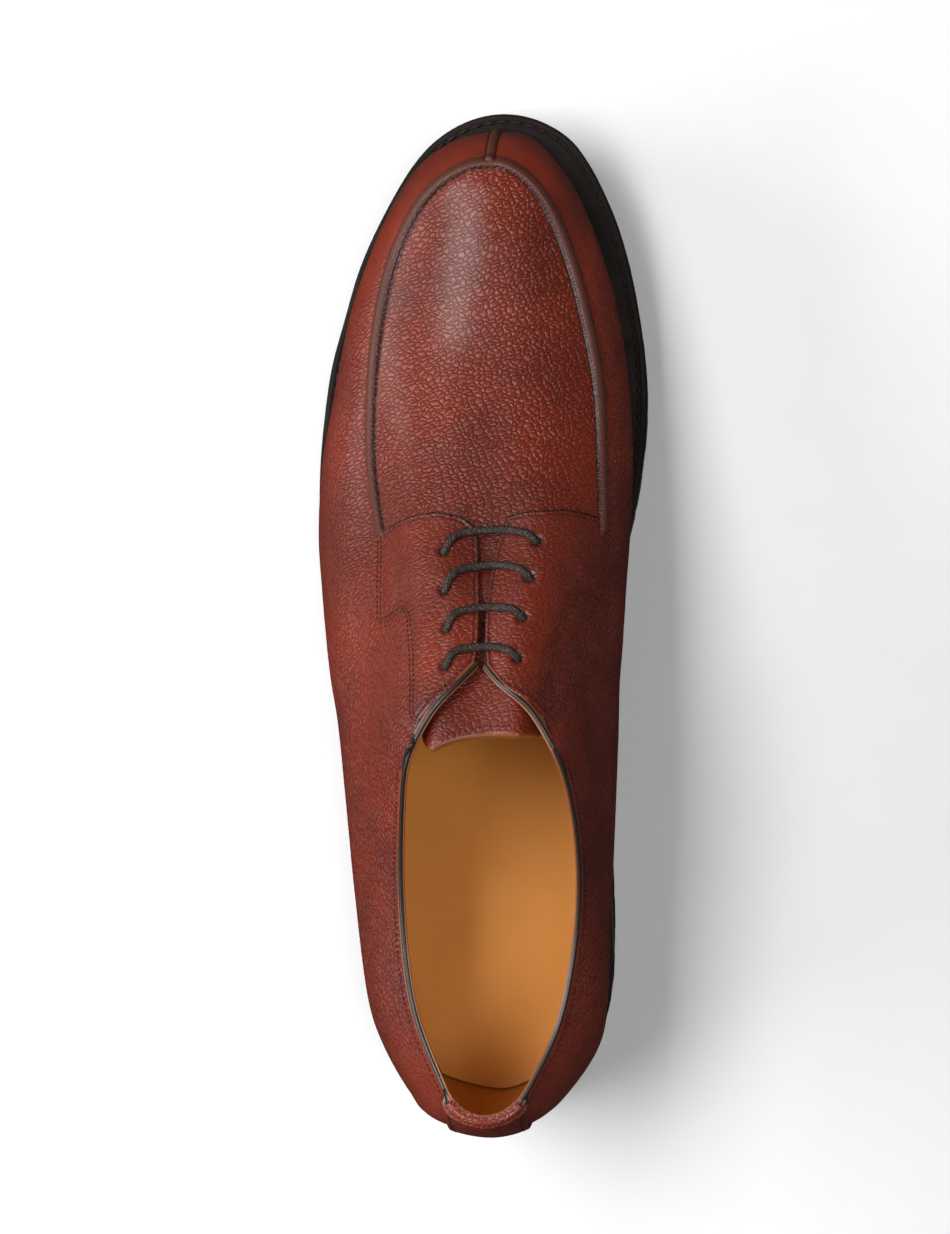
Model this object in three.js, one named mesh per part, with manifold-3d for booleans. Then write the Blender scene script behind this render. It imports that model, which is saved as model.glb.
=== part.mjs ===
// Apron toe derby, the left shoe, standing empty on its sole.
// Millimetres, +Y towards the toe, +X towards the inner (medial) side, +Z up.
// Every outline and every section is a table of shares of the driving dimensions below.
import * as THREE from 'three';
import { mergeVertices } from 'three/addons/utils/BufferGeometryUtils.js';
import Module from 'manifold-3d';

const wasm = await Module();
wasm.setup();

// Driving dimensions: length and widths
const soleLength = 310;
const ballWidth = 97;
const heelWidth = 73;

// Driving dimensions: heights of the upper above the welt
const backHeight = 61.5;
const instepHeight = 89;
const toeHeight = 30;

// Driving dimensions: the sole, from the floor up
const heelLift = 16.4;
const toeLift = 14.9;
const treadThickness = 7;
const waistThickness = 4.6;
const midsoleThickness = 3.3;
const weltThickness = 2.6;
const insoleThickness = 5;
const lugDepth = 3.6;
const lugPitch = 15.3;
const notchWidth = 8.4;
const notchHeight = 5.6;
const notchDepth = 10;

// Driving dimensions: walls, overlays and fits
const gap = 0.3;
const upperWall = 2.2;
const facingThickness = 1.8;
const tongueThickness = 1.8;
const backStripThickness = 1.2;
const backStripWidth = 23;
const seamHeight = 1.4;
const seamHalfWidth = 1.3;
const toeSeamHeight = 0.9;
const laceDiameter = 2.5;
const holeClearance = 0.4;

// Centre line of the throat, and of the heel, from the frame's own Y axis
const throatCentre = 2.4;
const heelCentre = 2.5;

// Small helpers
const lerp = THREE.MathUtils.lerp;
const smooth = (value, low, high) => THREE.MathUtils.smoothstep(value, low, high);
const vector = (x, y, z = 0) => new THREE.Vector3(x, y, z);

// Places along the sole between which one driving dimension passes into the next
const WIDTH_TURN = [0.25, 0.6];
const COLLAR_TURN = [0.23, 0.38];
const TOE_TURN = [0.5, 0.8];

// Width and height that the shares of a section at a place along the sole belong to
function widthAt(y) {
  return lerp(heelWidth, ballWidth, smooth(y / soleLength, ...WIDTH_TURN));
}

function heightAt(y) {
  const t = y / soleLength;
  const back = lerp(backHeight, instepHeight, smooth(t, ...COLLAR_TURN));
  return lerp(back, toeHeight, smooth(t, ...TOE_TURN));
}

// Smooth curve through a short table of [place, value] rows
function along(rows, place) {
  const last = rows.length - 1;
  if (place <= rows[0][0]) return rows[0][1];
  if (place >= rows[last][0]) return rows[last][1];
  const i = rows.findIndex((row) => row[0] > place) - 1;
  const slope = (k) => {
    const [low, high] = [rows[Math.max(k - 1, 0)], rows[Math.min(k + 1, last)]];
    return (high[1] - low[1]) / (high[0] - low[0]);
  };
  const span = rows[i + 1][0] - rows[i][0];
  const t = (place - rows[i][0]) / span;
  return hermite(rows[i][1], rows[i + 1][1], slope(i) * span, slope(i + 1) * span, t);
}

// Cubic between two values with the slopes given at its ends
function hermite(start, end, startSlope, endSlope, t) {
  const t2 = t * t;
  const t3 = t2 * t;
  const value = (2 * t3 - 3 * t2 + 1) * start + (3 * t2 - 2 * t3) * end;
  return value + (t3 - 2 * t2 + t) * startSlope + (t3 - t2) * endSlope;
}

// Rise of the welt towards the heel: place along the sole, share of heelLift
const HEEL_RISE = [
  [0, 1], [0.065, 0.94], [0.12, 0.866], [0.168, 0.805], [0.239, 0.701], [0.287, 0.628],
  [0.335, 0.53], [0.366, 0.412], [0.4, 0.28], [0.442, 0.134], [0.484, 0.05], [0.526, 0],
];
const toeSpringStart = 0.555;
const toeSpringPower = 1.6;

// Height of the welt's upper face, where the upper stands
function toeSpring(y) {
  const t = Math.max(0, y / soleLength - toeSpringStart) / (1 - toeSpringStart);
  return toeLift * t ** toeSpringPower;
}

function weltTop(y) {
  const stack = treadThickness + midsoleThickness + weltThickness + 2 * gap;
  return stack + heelLift * along(HEEL_RISE, y / soleLength) + toeSpring(y);
}

// Layers below it, each a gap under the next
const weltBottom = (y) => weltTop(y) - weltThickness;
const midsoleTop = (y) => weltBottom(y) - gap;
const midsoleBottom = (y) => midsoleTop(y) - midsoleThickness;
const outsoleTop = (y) => midsoleBottom(y) - gap;

// The tread ends in a step at the waist
const treadEnd = 0.507;
const treadStep = 0.008;

function outsoleBottom(y) {
  const waist = outsoleTop(y) - waistThickness;
  const t = smooth(y / soleLength, treadEnd - treadStep, treadEnd);
  return lerp(waist, toeSpring(y), t);
}

// Sole outline: place along the sole, outer side and inner side, shares of widthAt
const SOLE_OUTLINE = [
  [0, -0.034, 0.034],
  [0.004, 0.110, 0.144],
  [0.016, 0.219, 0.240],
  [0.039, 0.322, 0.349],
  [0.084, 0.432, 0.459],
  [0.132, 0.486, 0.500],
  [0.213, 0.514, 0.503],
  [0.290, 0.528, 0.480],
  [0.355, 0.524, 0.435],
  [0.419, 0.521, 0.393],
  [0.484, 0.534, 0.380],
  [0.548, 0.554, 0.406],
  [0.600, 0.577, 0.444],
  [0.652, 0.576, 0.473],
  [0.700, 0.561, 0.487],
  [0.751, 0.535, 0.484],
  [0.800, 0.490, 0.464],
  [0.852, 0.436, 0.432],
  [0.900, 0.362, 0.384],
  [0.951, 0.260, 0.304],
  [0.976, 0.182, 0.240],
  [0.994, 0.077, 0.139],
  [1, -0.031, 0.031],
];

// Sections of the upper from the heel (first row) round to the toe (last row).
// Each row bends up from the feather edge over the widest line and the seam line to the top.
// Places are shares of soleLength, widths of widthAt, heights above the welt of heightAt.
// wide: place, outer, inner, height; tuck: feather inset outer, inner;
// seam: place, outer, inner, height; top: place, outer, inner, height;
// round: fullness between widest line and seam, between seam and top.
const SECTIONS = [
  { wide: [0.004, -0.034, 0.034, 0.376], tuck: [0.070, 0.070], seam: [0.017, -0.034, 0.034, 0.720],
    top: [0.037, -0.034, 0.034, 1.000], round: [0.045, 0.50] },
  { wide: [0.018, 0.233, 0.225, 0.371], tuck: [0.072, 0.072], seam: [0.028, 0.158, 0.199, 0.724],
    top: [0.047, 0.082, 0.151, 0.988], round: [0.05, 0.51] },
  { wide: [0.039, 0.329, 0.340, 0.361], tuck: [0.074, 0.074], seam: [0.052, 0.247, 0.295, 0.689],
    top: [0.071, 0.130, 0.212, 0.947], round: [0.06, 0.52] },
  { wide: [0.084, 0.447, 0.466, 0.350], tuck: [0.071, 0.071], seam: [0.097, 0.356, 0.404, 0.663],
    top: [0.110, 0.212, 0.295, 0.880], round: [0.08, 0.54] },
  { wide: [0.132, 0.514, 0.500, 0.343], tuck: [0.068, 0.066], seam: [0.142, 0.425, 0.452, 0.654],
    top: [0.155, 0.267, 0.349, 0.857], round: [0.08, 0.55] },
  { wide: [0.229, 0.567, 0.507, 0.338], tuck: [0.068, 0.068], seam: [0.229, 0.459, 0.473, 0.688],
    top: [0.232, 0.295, 0.395, 0.912], round: [0.08, 0.55] },
  { wide: [0.316, 0.585, 0.496, 0.256], tuck: [0.073, 0.090], seam: [0.316, 0.452, 0.458, 0.627],
    top: [0.310, 0.274, 0.381, 0.899], round: [0.09, 0.56] },
  { wide: [0.394, 0.565, 0.465, 0.236], tuck: [0.073, 0.100], seam: [0.390, 0.405, 0.399, 0.667],
    top: [0.379, 0.211, 0.292, 0.967], round: [0.10, 0.60] },
  { wide: [0.435, 0.558, 0.450, 0.235], tuck: [0.070, 0.098], seam: [0.432, 0.367, 0.362, 0.677],
    top: [0.381, 0.099, 0.154, 1.020], round: [0.11, 0.68] },
  { wide: [0.474, 0.558, 0.438, 0.222], tuck: [0.064, 0.087], seam: [0.471, 0.346, 0.346, 0.654],
    top: [0.382, -0.032, 0.032, 1.040], round: [0.12, 0.75] },
  { wide: [0.526, 0.556, 0.431, 0.205], tuck: [0.053, 0.069], seam: [0.523, 0.324, 0.340, 0.619],
    top: [0.445, -0.029, 0.029, 0.942], round: [0.12, 0.75] },
  { wide: [0.581, 0.556, 0.433, 0.208], tuck: [0.041, 0.050], seam: [0.574, 0.315, 0.360, 0.585],
    top: [0.503, -0.026, 0.026, 0.835], round: [0.12, 0.75] },
  { wide: [0.652, 0.544, 0.445, 0.245], tuck: [0.031, 0.035], seam: [0.648, 0.355, 0.354, 0.616],
    top: [0.574, -0.024, 0.024, 0.746], round: [0.12, 0.75] },
  { wide: [0.726, 0.501, 0.435, 0.343], tuck: [0.025, 0.027], seam: [0.723, 0.359, 0.342, 0.786],
    top: [0.661, -0.023, 0.023, 0.869], round: [0.12, 0.75] },
  { wide: [0.800, 0.452, 0.399, 0.390], tuck: [0.020, 0.021], seam: [0.790, 0.338, 0.303, 0.907],
    top: [0.748, -0.022, 0.022, 1.135], round: [0.12, 0.75] },
  { wide: [0.865, 0.379, 0.340, 0.330], tuck: [0.015, 0.016], seam: [0.845, 0.297, 0.256, 0.845],
    top: [0.819, -0.021, 0.021, 1.168], round: [0.12, 0.75] },
  { wide: [0.916, 0.299, 0.273, 0.280], tuck: [0.013, 0.013], seam: [0.889, 0.231, 0.199, 0.840],
    top: [0.868, -0.019, 0.019, 1.092], round: [0.12, 0.75] },
  { wide: [0.952, 0.211, 0.196, 0.233], tuck: [0.011, 0.011], seam: [0.916, 0.155, 0.140, 0.881],
    top: [0.897, -0.016, 0.016, 1.030], round: [0.12, 0.72] },
  { wide: [0.973, 0.093, 0.124, 0.203], tuck: [0.010, 0.010], seam: [0.932, 0.067, 0.072, 0.887],
    top: [0.911, -0.014, 0.014, 0.997], round: [0.11, 0.70] },
  { wide: [0.979, -0.031, 0.031, 0.190], tuck: [0.010, 0.010], seam: [0.936, -0.008, 0.008, 0.872],
    top: [0.918, -0.012, 0.012, 0.973], round: [0.10, 0.70] },
];
const toeSection = SECTIONS.length - 1;

// From this section forward both sides share one top line, the spine of the instep and apron
const spineSection = 9;

// The raised apron seam starts in front of the facings
const seamFade = [11.5, 12];

// Rows up a section: place on its six guide points, and an offset in mm from the seam line
const SECTION_ROWS = [
  [0, 0], [0.5, 0], [1, 0], [1.5, 0], [2, 0], [2.5, 0], [3, -1], [3, -0.4], [3, 0.4], [3, 1],
  [3.5, 0], [4, 0], [4.5, 0], [5, 0],
];
const seamRow = 3;
const shoulderRow = 2;
const topRow = 5;
const seamReachLimit = 0.4;

// A point of a guide line on one side: side is -1 for the outer side and 1 for the inner side
function guidePoint(name, side, index) {
  let i = index;
  let s = side;
  if (i < 0) {
    i = -i;
    s = -side;
  }
  if (i > toeSection) {
    i = 2 * toeSection - i;
    s = -side;
  }
  const [place, outer, inner, height] = SECTIONS[i][name];
  const y = place * soleLength;
  const share = s < 0 ? outer : inner;
  return vector(s * share * widthAt(y), y, weltTop(y) + gap + height * heightAt(y));
}

// Feather edge: the widest line moved in by the tuck, and down onto the welt
function featherPoint(side, index) {
  const i = index < 0 ? -index : Math.min(index, 2 * toeSection - index);
  const s = index < 0 || index > toeSection ? -side : side;
  const before = guidePoint('wide', s, i - 1);
  const after = guidePoint('wide', s, i + 1);
  const point = guidePoint('wide', s, i);
  const inward = vector(before.y - after.y, after.x - before.x).normalize().multiplyScalar(s);
  const tuck = SECTIONS[i].tuck[s < 0 ? 0 : 1] * widthAt(point.y);
  point.addScaledVector(inward, tuck);
  point.z = weltTop(point.y) + gap;
  return point;
}

// Catmull-Rom blend of four points
function blend(p0, p1, p2, p3, t) {
  const curve = (a, b, c, d) => hermite(b, c, (c - a) / 2, (d - b) / 2, t);
  return vector(curve(p0.x, p1.x, p2.x, p3.x), curve(p0.y, p1.y, p2.y, p3.y), curve(p0.z, p1.z, p2.z, p3.z));
}

const mirrored = (end, next) => end.clone().multiplyScalar(2).sub(next);

// A guide line at any place between its sections
function guideLine(name, side, place) {
  const at = (i) => (name === 'feather' ? featherPoint(side, i) : guidePoint(name, side, i));
  const i = Math.min(Math.floor(place), toeSection - 1);
  const t = place - i;
  let before = at(i - 1);
  let after = at(i + 2);
  if (name === 'top' && i === spineSection - 1) after = mirrored(at(i + 1), at(i));
  if (name === 'top' && i === spineSection) before = mirrored(at(i), at(i + 1));
  return blend(before, at(i), at(i + 1), after, t);
}

function roundness(column, place) {
  const i = Math.min(Math.floor(place), toeSection - 1);
  return lerp(SECTIONS[i].round[column], SECTIONS[i + 1].round[column], place - i);
}

// The six guide points of one section: feather, widest, shoulder, seam, crown, top
function sectionPoints(side, place) {
  const feather = guideLine('feather', side, place);
  const widest = guideLine('wide', side, place);
  const seam = guideLine('seam', side, place);
  const top = guideLine('top', side, place);
  const out = vector(widest.x - feather.x, widest.y - feather.y).normalize();
  const rise = seam.clone().sub(widest);
  const lean = rise.dot(out);
  const bulge = out.clone().multiplyScalar(rise.z);
  bulge.z = -lean;
  const shoulder = widest.clone().lerp(seam, 0.5).addScaledVector(bulge, roundness(0, place));
  const crown = seam.clone().lerp(top, 0.5);
  crown.z = lerp(seam.z, top.z, roundness(1, place));
  return [feather, widest, shoulder, seam, crown, top];
}

// A point of the last's form: place round the shoe, row up the section, offset from the seam line
function formPoint(side, place, row, offset) {
  const points = sectionPoints(side, place);
  const first = mirrored(points[0], points[1]);
  const last = mirrored(points[topRow], points[topRow - 1]);
  if (place >= spineSection) last.z = points[topRow - 1].z;
  points.unshift(first);
  points.push(last);
  let v = row;
  if (row === seamRow) {
    const neighbour = points[offset < 0 ? seamRow : seamRow + 2];
    const reach = neighbour.distanceTo(points[seamRow + 1]);
    v += THREE.MathUtils.clamp(offset * seamHalfWidth / reach, -seamReachLimit, seamReachLimit);
  }
  const i = Math.min(Math.floor(v), topRow - 1);
  return blend(points[i], points[i + 1], points[i + 2], points[i + 3], v - i);
}

// Height of the raised seams over the form
function seamRelief(place, row, offset) {
  const apron = row === seamRow && Math.abs(offset) < 1 ? seamHeight : 0;
  const toe = place === toeSection && row < seamRow ? toeSeamHeight : 0;
  return apron * smooth(place, seamFade[0], seamFade[1]) + toe;
}

// Places round one side, closer together at the seam up the toe
const placeStep = 0.5;
const toeSeamStep = 0.1;

function sidePlaces(from, to) {
  const places = [];
  for (let place = from; place < to; place += placeStep) places.push(place);
  if (to === toeSection) places.push(toeSection - toeSeamStep);
  places.push(to);
  return places;
}

// Open surface of the form: columns run up the outer side to the toe and back down the inner side
function formSurface(columns, rows, closed) {
  const positions = [];
  const marks = [];
  for (const [side, place] of columns) {
    for (const [row, offset] of rows) {
      const point = formPoint(side, place, row, offset);
      positions.push(point.x, point.y, point.z);
      marks.push(seamRelief(place, row, offset));
    }
  }
  const index = [];
  const count = rows.length;
  const spans = closed ? columns.length : columns.length - 1;
  for (let i = 0; i < spans; i += 1) {
    const j = (i + 1) % columns.length;
    for (let k = 0; k < count - 1; k += 1) {
      const a = i * count + k;
      const b = j * count + k;
      index.push(a, a + 1, b, b, a + 1, b + 1);
    }
  }
  const surface = new THREE.BufferGeometry();
  surface.setAttribute('position', new THREE.Float32BufferAttribute(positions, 3));
  surface.setAttribute('relief', new THREE.Float32BufferAttribute(marks, 1));
  surface.setIndex(index);
  const merged = mergeVertices(surface, 1e-3);
  merged.setIndex(withoutSlivers(Array.from(merged.index.array)));
  merged.computeVertexNormals();
  return merged;
}

function withoutSlivers(index) {
  const kept = [];
  for (let i = 0; i < index.length; i += 3) {
    const [a, b, c] = index.slice(i, i + 3);
    if (a !== b && b !== c && c !== a) kept.push(a, b, c);
  }
  return kept;
}

// Gives an open surface a wall: the skin lies lift outside it, the lining thickness further in,
// and every open edge is closed by a strip between the two
function thicken(surface, lift, thickness) {
  const position = surface.attributes.position;
  const normal = surface.attributes.normal;
  const relief = surface.attributes.relief;
  const count = position.count;
  const points = [];
  for (const layer of [0, 1]) {
    for (let i = 0; i < count; i += 1) {
      const reach = layer === 0 ? lift + relief.getX(i) : lift - thickness;
      const p = vector(position.getX(i), position.getY(i), position.getZ(i));
      p.addScaledVector(vector(normal.getX(i), normal.getY(i), normal.getZ(i)), reach);
      points.push(p.x, p.y, p.z);
    }
  }
  const faces = Array.from(surface.index.array);
  const index = [...faces];
  const edges = new Map();
  for (let i = 0; i < faces.length; i += 3) {
    const corners = faces.slice(i, i + 3);
    index.push(corners[0] + count, corners[2] + count, corners[1] + count);
    corners.forEach((a, k) => edges.set(`${a},${corners[(k + 1) % 3]}`, [a, corners[(k + 1) % 3]]));
  }
  for (const [a, b] of edges.values()) {
    if (!edges.has(`${b},${a}`)) index.push(b, a, a + count, b, a + count, b + count);
  }
  return meshSolid(points, index);
}

// Solids in and out of the boolean library
function meshSolid(points, index) {
  const mesh = new wasm.Mesh({
    numProp: 3,
    vertProperties: new Float32Array(points),
    triVerts: new Uint32Array(index),
  });
  mesh.merge();
  return new wasm.Manifold(mesh);
}

function geometrySolid(geometry) {
  const bare = geometry.clone();
  bare.deleteAttribute('normal');
  bare.deleteAttribute('uv');
  const merged = mergeVertices(bare, 1e-4);
  return meshSolid(merged.attributes.position.array, merged.index.array);
}

function solidGeometry(solid) {
  const mesh = solid.getMesh();
  const geometry = new THREE.BufferGeometry();
  geometry.setAttribute('position', new THREE.BufferAttribute(mesh.vertProperties.slice(), 3));
  geometry.setIndex(new THREE.BufferAttribute(mesh.triVerts.slice(), 1));
  geometry.computeVertexNormals();
  return geometry;
}

// Closed plan loop through a table of [place, outer, inner] shares, with two steps to a row
const LOOP_STEPS = 2;

function planLoop(table) {
  const inner = table.map(([place, , share]) => [place, share]);
  const outer = table.slice(1, -1).reverse().map(([place, share]) => [place, -share]);
  const corners = [...inner, ...outer].map(([place, share]) => {
    const y = place * soleLength;
    return vector(share * widthAt(y), y);
  });
  const curve = new THREE.CatmullRomCurve3(corners, true, 'centripetal');
  const points = [];
  for (let i = 0; i < corners.length * LOOP_STEPS; i += 1) {
    points.push(curve.getPoint(i / (corners.length * LOOP_STEPS)));
  }
  return points;
}

// A loop moved inwards along its own normals by a distance that may change with the place
function inset(loop, distance) {
  const reach = typeof distance === 'function' ? distance : () => distance;
  return loop.map((point, i) => {
    const before = loop[(i + loop.length - 1) % loop.length];
    const after = loop[(i + 1) % loop.length];
    const inward = vector(before.y - after.y, after.x - before.x).normalize();
    return point.clone().addScaledVector(inward, reach(point));
  });
}

// A layer of the sole: rings from the bottom up, each a loop with its height function
function layer(rings) {
  const count = rings[0].loop.length;
  const points = [];
  const index = [];
  for (const { loop, height } of rings) loop.forEach((p) => points.push(p.x, p.y, height(p.y)));
  for (let k = 0; k < rings.length - 1; k += 1) {
    for (let i = 0; i < count; i += 1) {
      const low = k * count;
      const high = low + count;
      const j = (i + 1) % count;
      index.push(low + i, low + j, high + j, low + i, high + j, high + i);
    }
  }
  const top = (rings.length - 1) * count;
  for (const [a, b, c] of acrossRows(count)) index.push(a, c, b, top + a, top + b, top + c);
  return meshSolid(points, index);
}

// Faces that join the two sides of a loop row by row, so that a face bends with the sole
function acrossRows(count) {
  const faces = [];
  const half = count / 2;
  for (let i = 0; i < half; i += 1) {
    const right = i;
    const rightNext = i + 1;
    const left = (count - i) % count;
    const leftNext = count - i - 1;
    if (left !== right) faces.push([right, rightNext, left]);
    if (leftNext !== rightNext) faces.push([rightNext, leftNext, left]);
  }
  return faces;
}

// Upright prism over a plan polygon
function prism(outline, bottom, top) {
  const shape = new THREE.Shape(outline.map(([x, y]) => new THREE.Vector2(x, y)));
  const geometry = new THREE.ExtrudeGeometry(shape, { depth: top - bottom, bevelEnabled: false });
  geometry.translate(0, 0, bottom);
  return geometrySolid(geometry);
}

const soleLoop = planLoop(SOLE_OUTLINE);

// Notch cutters along the edge, house-shaped and pointed in turn: shares of notchHeight
const pointedShare = 0.8;
const wallShare = 0.55;

function notchShape(pointed) {
  const half = notchWidth / 2;
  const shape = new THREE.Shape();
  const low = -lugDepth;
  shape.moveTo(-half, low);
  shape.lineTo(half, low);
  if (pointed) {
    shape.lineTo(0, notchHeight * pointedShare);
  } else {
    shape.lineTo(half, notchHeight * wallShare);
    shape.lineTo(0, notchHeight);
    shape.lineTo(-half, notchHeight * wallShare);
  }
  shape.closePath();
  return shape;
}

function notchCutter(point, inward, bottom, pointed) {
  const across = vector(-inward.y, inward.x);
  const reach = { depth: 2 * notchDepth, bevelEnabled: false };
  const geometry = new THREE.ExtrudeGeometry(notchShape(pointed), reach);
  const up = vector(0, 0, 1);
  const turn = new THREE.Matrix4().makeBasis(across, up, inward);
  geometry.translate(0, 0, -notchDepth);
  geometry.applyMatrix4(turn);
  geometry.translate(point.x, point.y, bottom);
  return geometrySolid(geometry);
}

// Walks round the sole and puts a notch at every pitch between two places. A notch is level, so it
// starts from the lower of the heights at its two ends, and never reaches the sole's upper face.
function edgeNotches(from, to, bottomAt) {
  const line = new THREE.CatmullRomCurve3(soleLoop, true);
  const count = Math.round(line.getLength() / lugPitch);
  let cutters = null;
  for (let i = 0; i < count; i += 1) {
    const place = (i + 0.5) / count;
    const point = line.getPointAt(place);
    if (point.y < from * soleLength || point.y > to * soleLength) continue;
    const heading = line.getTangentAt(place);
    const inward = vector(-heading.y, heading.x);
    const low = Math.min(bottomAt(point.y), bottomAt(point.y + inward.y * notchDepth));
    const cutter = notchCutter(point, inward, low, i % 2 === 1);
    cutters = cutters ? cutters.add(cutter) : cutter;
  }
  return cutters;
}

// Tread of the forefoot: a sunk field inside the edge lugs, with a row of star lugs left standing
const edgeLugWidth = 13;
const starRadius = 9;
const starPitch = 21;
const starArms = 4;
const starWaist = 0.45;
const firstStar = 0.6;
const treadFrom = treadEnd + 0.02;
const treadTo = 0.93;
const pastToe = 1.01;

function starOutline(x, y, radius, arms) {
  const outline = [];
  for (let i = 0; i < arms * 2; i += 1) {
    const angle = (i / (arms * 2)) * Math.PI * 2;
    const reach = i % 2 === 0 ? radius : radius * starWaist;
    outline.push([x + reach * Math.cos(angle), y + reach * Math.sin(angle)]);
  }
  return outline;
}

function treadField() {
  const loop = inset(soleLoop, edgeLugWidth);
  const under = (y) => outsoleBottom(y) - lugDepth;
  const over = (y) => outsoleBottom(y) + lugDepth;
  const field = layer([{ loop, height: under }, { loop, height: over }]);
  const from = treadFrom * soleLength;
  const to = treadTo * soleLength;
  const floor = -lugDepth;
  const ceiling = heelLift + toeLift;
  const span = ballWidth;
  let sunk = field.intersect(prism([[-span, from], [span, from], [span, to], [-span, to]], floor, ceiling));
  for (let row = 0; from + (row + firstStar) * starPitch < to; row += 1) {
    const y = from + (row + firstStar) * starPitch;
    const firstX = -1.5 * starPitch - (row % 2) * starPitch / 2;
    for (let x = firstX; x < span; x += starPitch) {
      const clear = Math.min(...loop.map((p) => Math.hypot(p.x - x, p.y - y)));
      const inside = Math.abs(x) < span / 2 && clear > starRadius + gap;
      if (inside) sunk = sunk.subtract(prism(starOutline(x, y, starRadius, starArms), floor, ceiling));
    }
  }
  return sunk;
}

function outsoleSolid() {
  const slab = layer([
    { loop: soleLoop, height: outsoleBottom },
    { loop: soleLoop, height: outsoleTop },
  ]);
  return slab.subtract(treadField()).subtract(edgeNotches(treadFrom, pastToe, outsoleBottom));
}

// Heel block under the seat, with its breast across the shoe and notches round its edge
const heelBreast = 0.305;
const breastChamfer = 4;
const lastHeelNotch = heelBreast - 0.05;
const beyond = 1;

function heelSolid() {
  const top = (y) => outsoleBottom(Math.min(y, heelBreast * soleLength)) - gap;
  const block = layer([
    { loop: soleLoop, height: () => 0 },
    { loop: soleLoop, height: top },
  ]);
  const breast = heelBreast * soleLength;
  const span = ballWidth;
  const keep = prism([[-span, -span], [span, -span], [span, breast], [-span, breast]], -beyond, heelLift * 2);
  const wedge = new THREE.Shape();
  wedge.moveTo(breast - breastChamfer, -beyond);
  wedge.lineTo(breast + beyond, -beyond);
  wedge.lineTo(breast + beyond, breastChamfer + beyond);
  wedge.closePath();
  const cut = new THREE.ExtrudeGeometry(wedge, { depth: 2 * span, bevelEnabled: false });
  cut.applyMatrix4(new THREE.Matrix4().makeBasis(vector(0, 1, 0), vector(0, 0, 1), vector(1, 0, 0)));
  cut.translate(-span, 0, 0);
  const bare = block.intersect(keep).subtract(geometrySolid(cut));
  return bare.subtract(edgeNotches(0, lastHeelNotch, () => 0));
}

// Midsole: a layer set a little inside the sole's edge
const midsoleInset = 0.5;

function midsoleSolid() {
  const loop = inset(soleLoop, midsoleInset);
  return layer([{ loop, height: midsoleBottom }, { loop, height: midsoleTop }]);
}

// Plan loop of the feather edge, the same number of points on both sides
function featherLoop() {
  const places = sidePlaces(0, toeSection);
  const up = places.map((place) => guideLine('feather', 1, place));
  const down = places.slice(1, -1).reverse().map((place) => guideLine('feather', -1, place));
  return [...up, ...down];
}

// Welt: a strip all round, from under the upper's wall out to the sole's edge
const insoleFit = 0.5;
const weltEdge = 0.8;
const weltSearch = 600;

function weltSolid() {
  const count = soleLoop.length;
  const inside = inset(featherLoop(), upperWall + insoleFit - gap);
  const line = new THREE.CatmullRomCurve3(inside, true).getPoints(weltSearch);
  const flat = line.map((p) => vector(p.x, p.y));
  const closer = (point, a, b) => (a.distanceTo(point) < b.distanceTo(point) ? a : b);
  const nearest = (point) => flat.reduce((best, p) => closer(point, p, best));
  const hole = soleLoop.map(nearest);
  const rings = [
    { loop: soleLoop, height: weltBottom },
    { loop: soleLoop, height: (y) => weltTop(y) - weltEdge },
    { loop: inset(soleLoop, weltEdge), height: weltTop },
    { loop: hole, height: weltTop },
    { loop: hole, height: weltBottom },
  ];
  const points = rings.flatMap(({ loop, height }) => loop.flatMap((p) => [p.x, p.y, height(p.y)]));
  const index = [];
  for (let k = 0; k < rings.length; k += 1) {
    for (let i = 0; i < count; i += 1) {
      const low = k * count;
      const high = ((k + 1) % rings.length) * count;
      const j = (i + 1) % count;
      index.push(low + i, low + j, high + j, low + i, high + j, high + i);
    }
  }
  return meshSolid(points, index);
}

// Insole: stands on the midsole inside the welt and the upper's wall
function insoleSolid() {
  const loop = inset(featherLoop(), upperWall + insoleFit);
  const bottom = (y) => midsoleTop(y) + gap;
  const top = (y) => bottom(y) + insoleThickness;
  return layer([{ loop, height: bottom }, { loop, height: top }]);
}

// Upper: the whole form with a wall, open underneath, at the collar and along the throat
const THROAT_SLOT = [
  [0.350, -17.5], [0.387, -16.5], [0.405, -15.4], [0.430, -14.4], [0.480, -15.4], [0.535, -17],
  [0.560, -14], [0.574, -8], [0.578, 0], [0.574, 8], [0.560, 14], [0.535, 17], [0.480, 14.8],
  [0.430, 13.4], [0.405, 15.4], [0.387, 17], [0.350, 19],
];

function upperSolid() {
  const outer = sidePlaces(0, toeSection).map((place) => [-1, place]);
  const inner = sidePlaces(0, toeSection).slice(1, -1).reverse().map((place) => [1, place]);
  const surface = formSurface([...outer, ...inner], SECTION_ROWS, true);
  const shell = thicken(surface, 0, upperWall);
  const slot = THROAT_SLOT.map(([place, x]) => [throatCentre + x, place * soleLength]);
  return shell.subtract(prism(slot, instepHeight / 2, instepHeight * 2));
}

// Part of the form over the instep, for the pieces cut from it
const INSTEP_SPAN = [6, 14];
const overAll = instepHeight * 2;

function instepSurface() {
  const places = sidePlaces(...INSTEP_SPAN);
  const outer = places.map((place) => [-1, place]);
  const inner = places.slice().reverse().map((place) => [1, place]);
  const rows = SECTION_ROWS.filter(([row]) => row >= shoulderRow);
  return formSurfaceWithSpine(outer, inner, rows);
}

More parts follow.
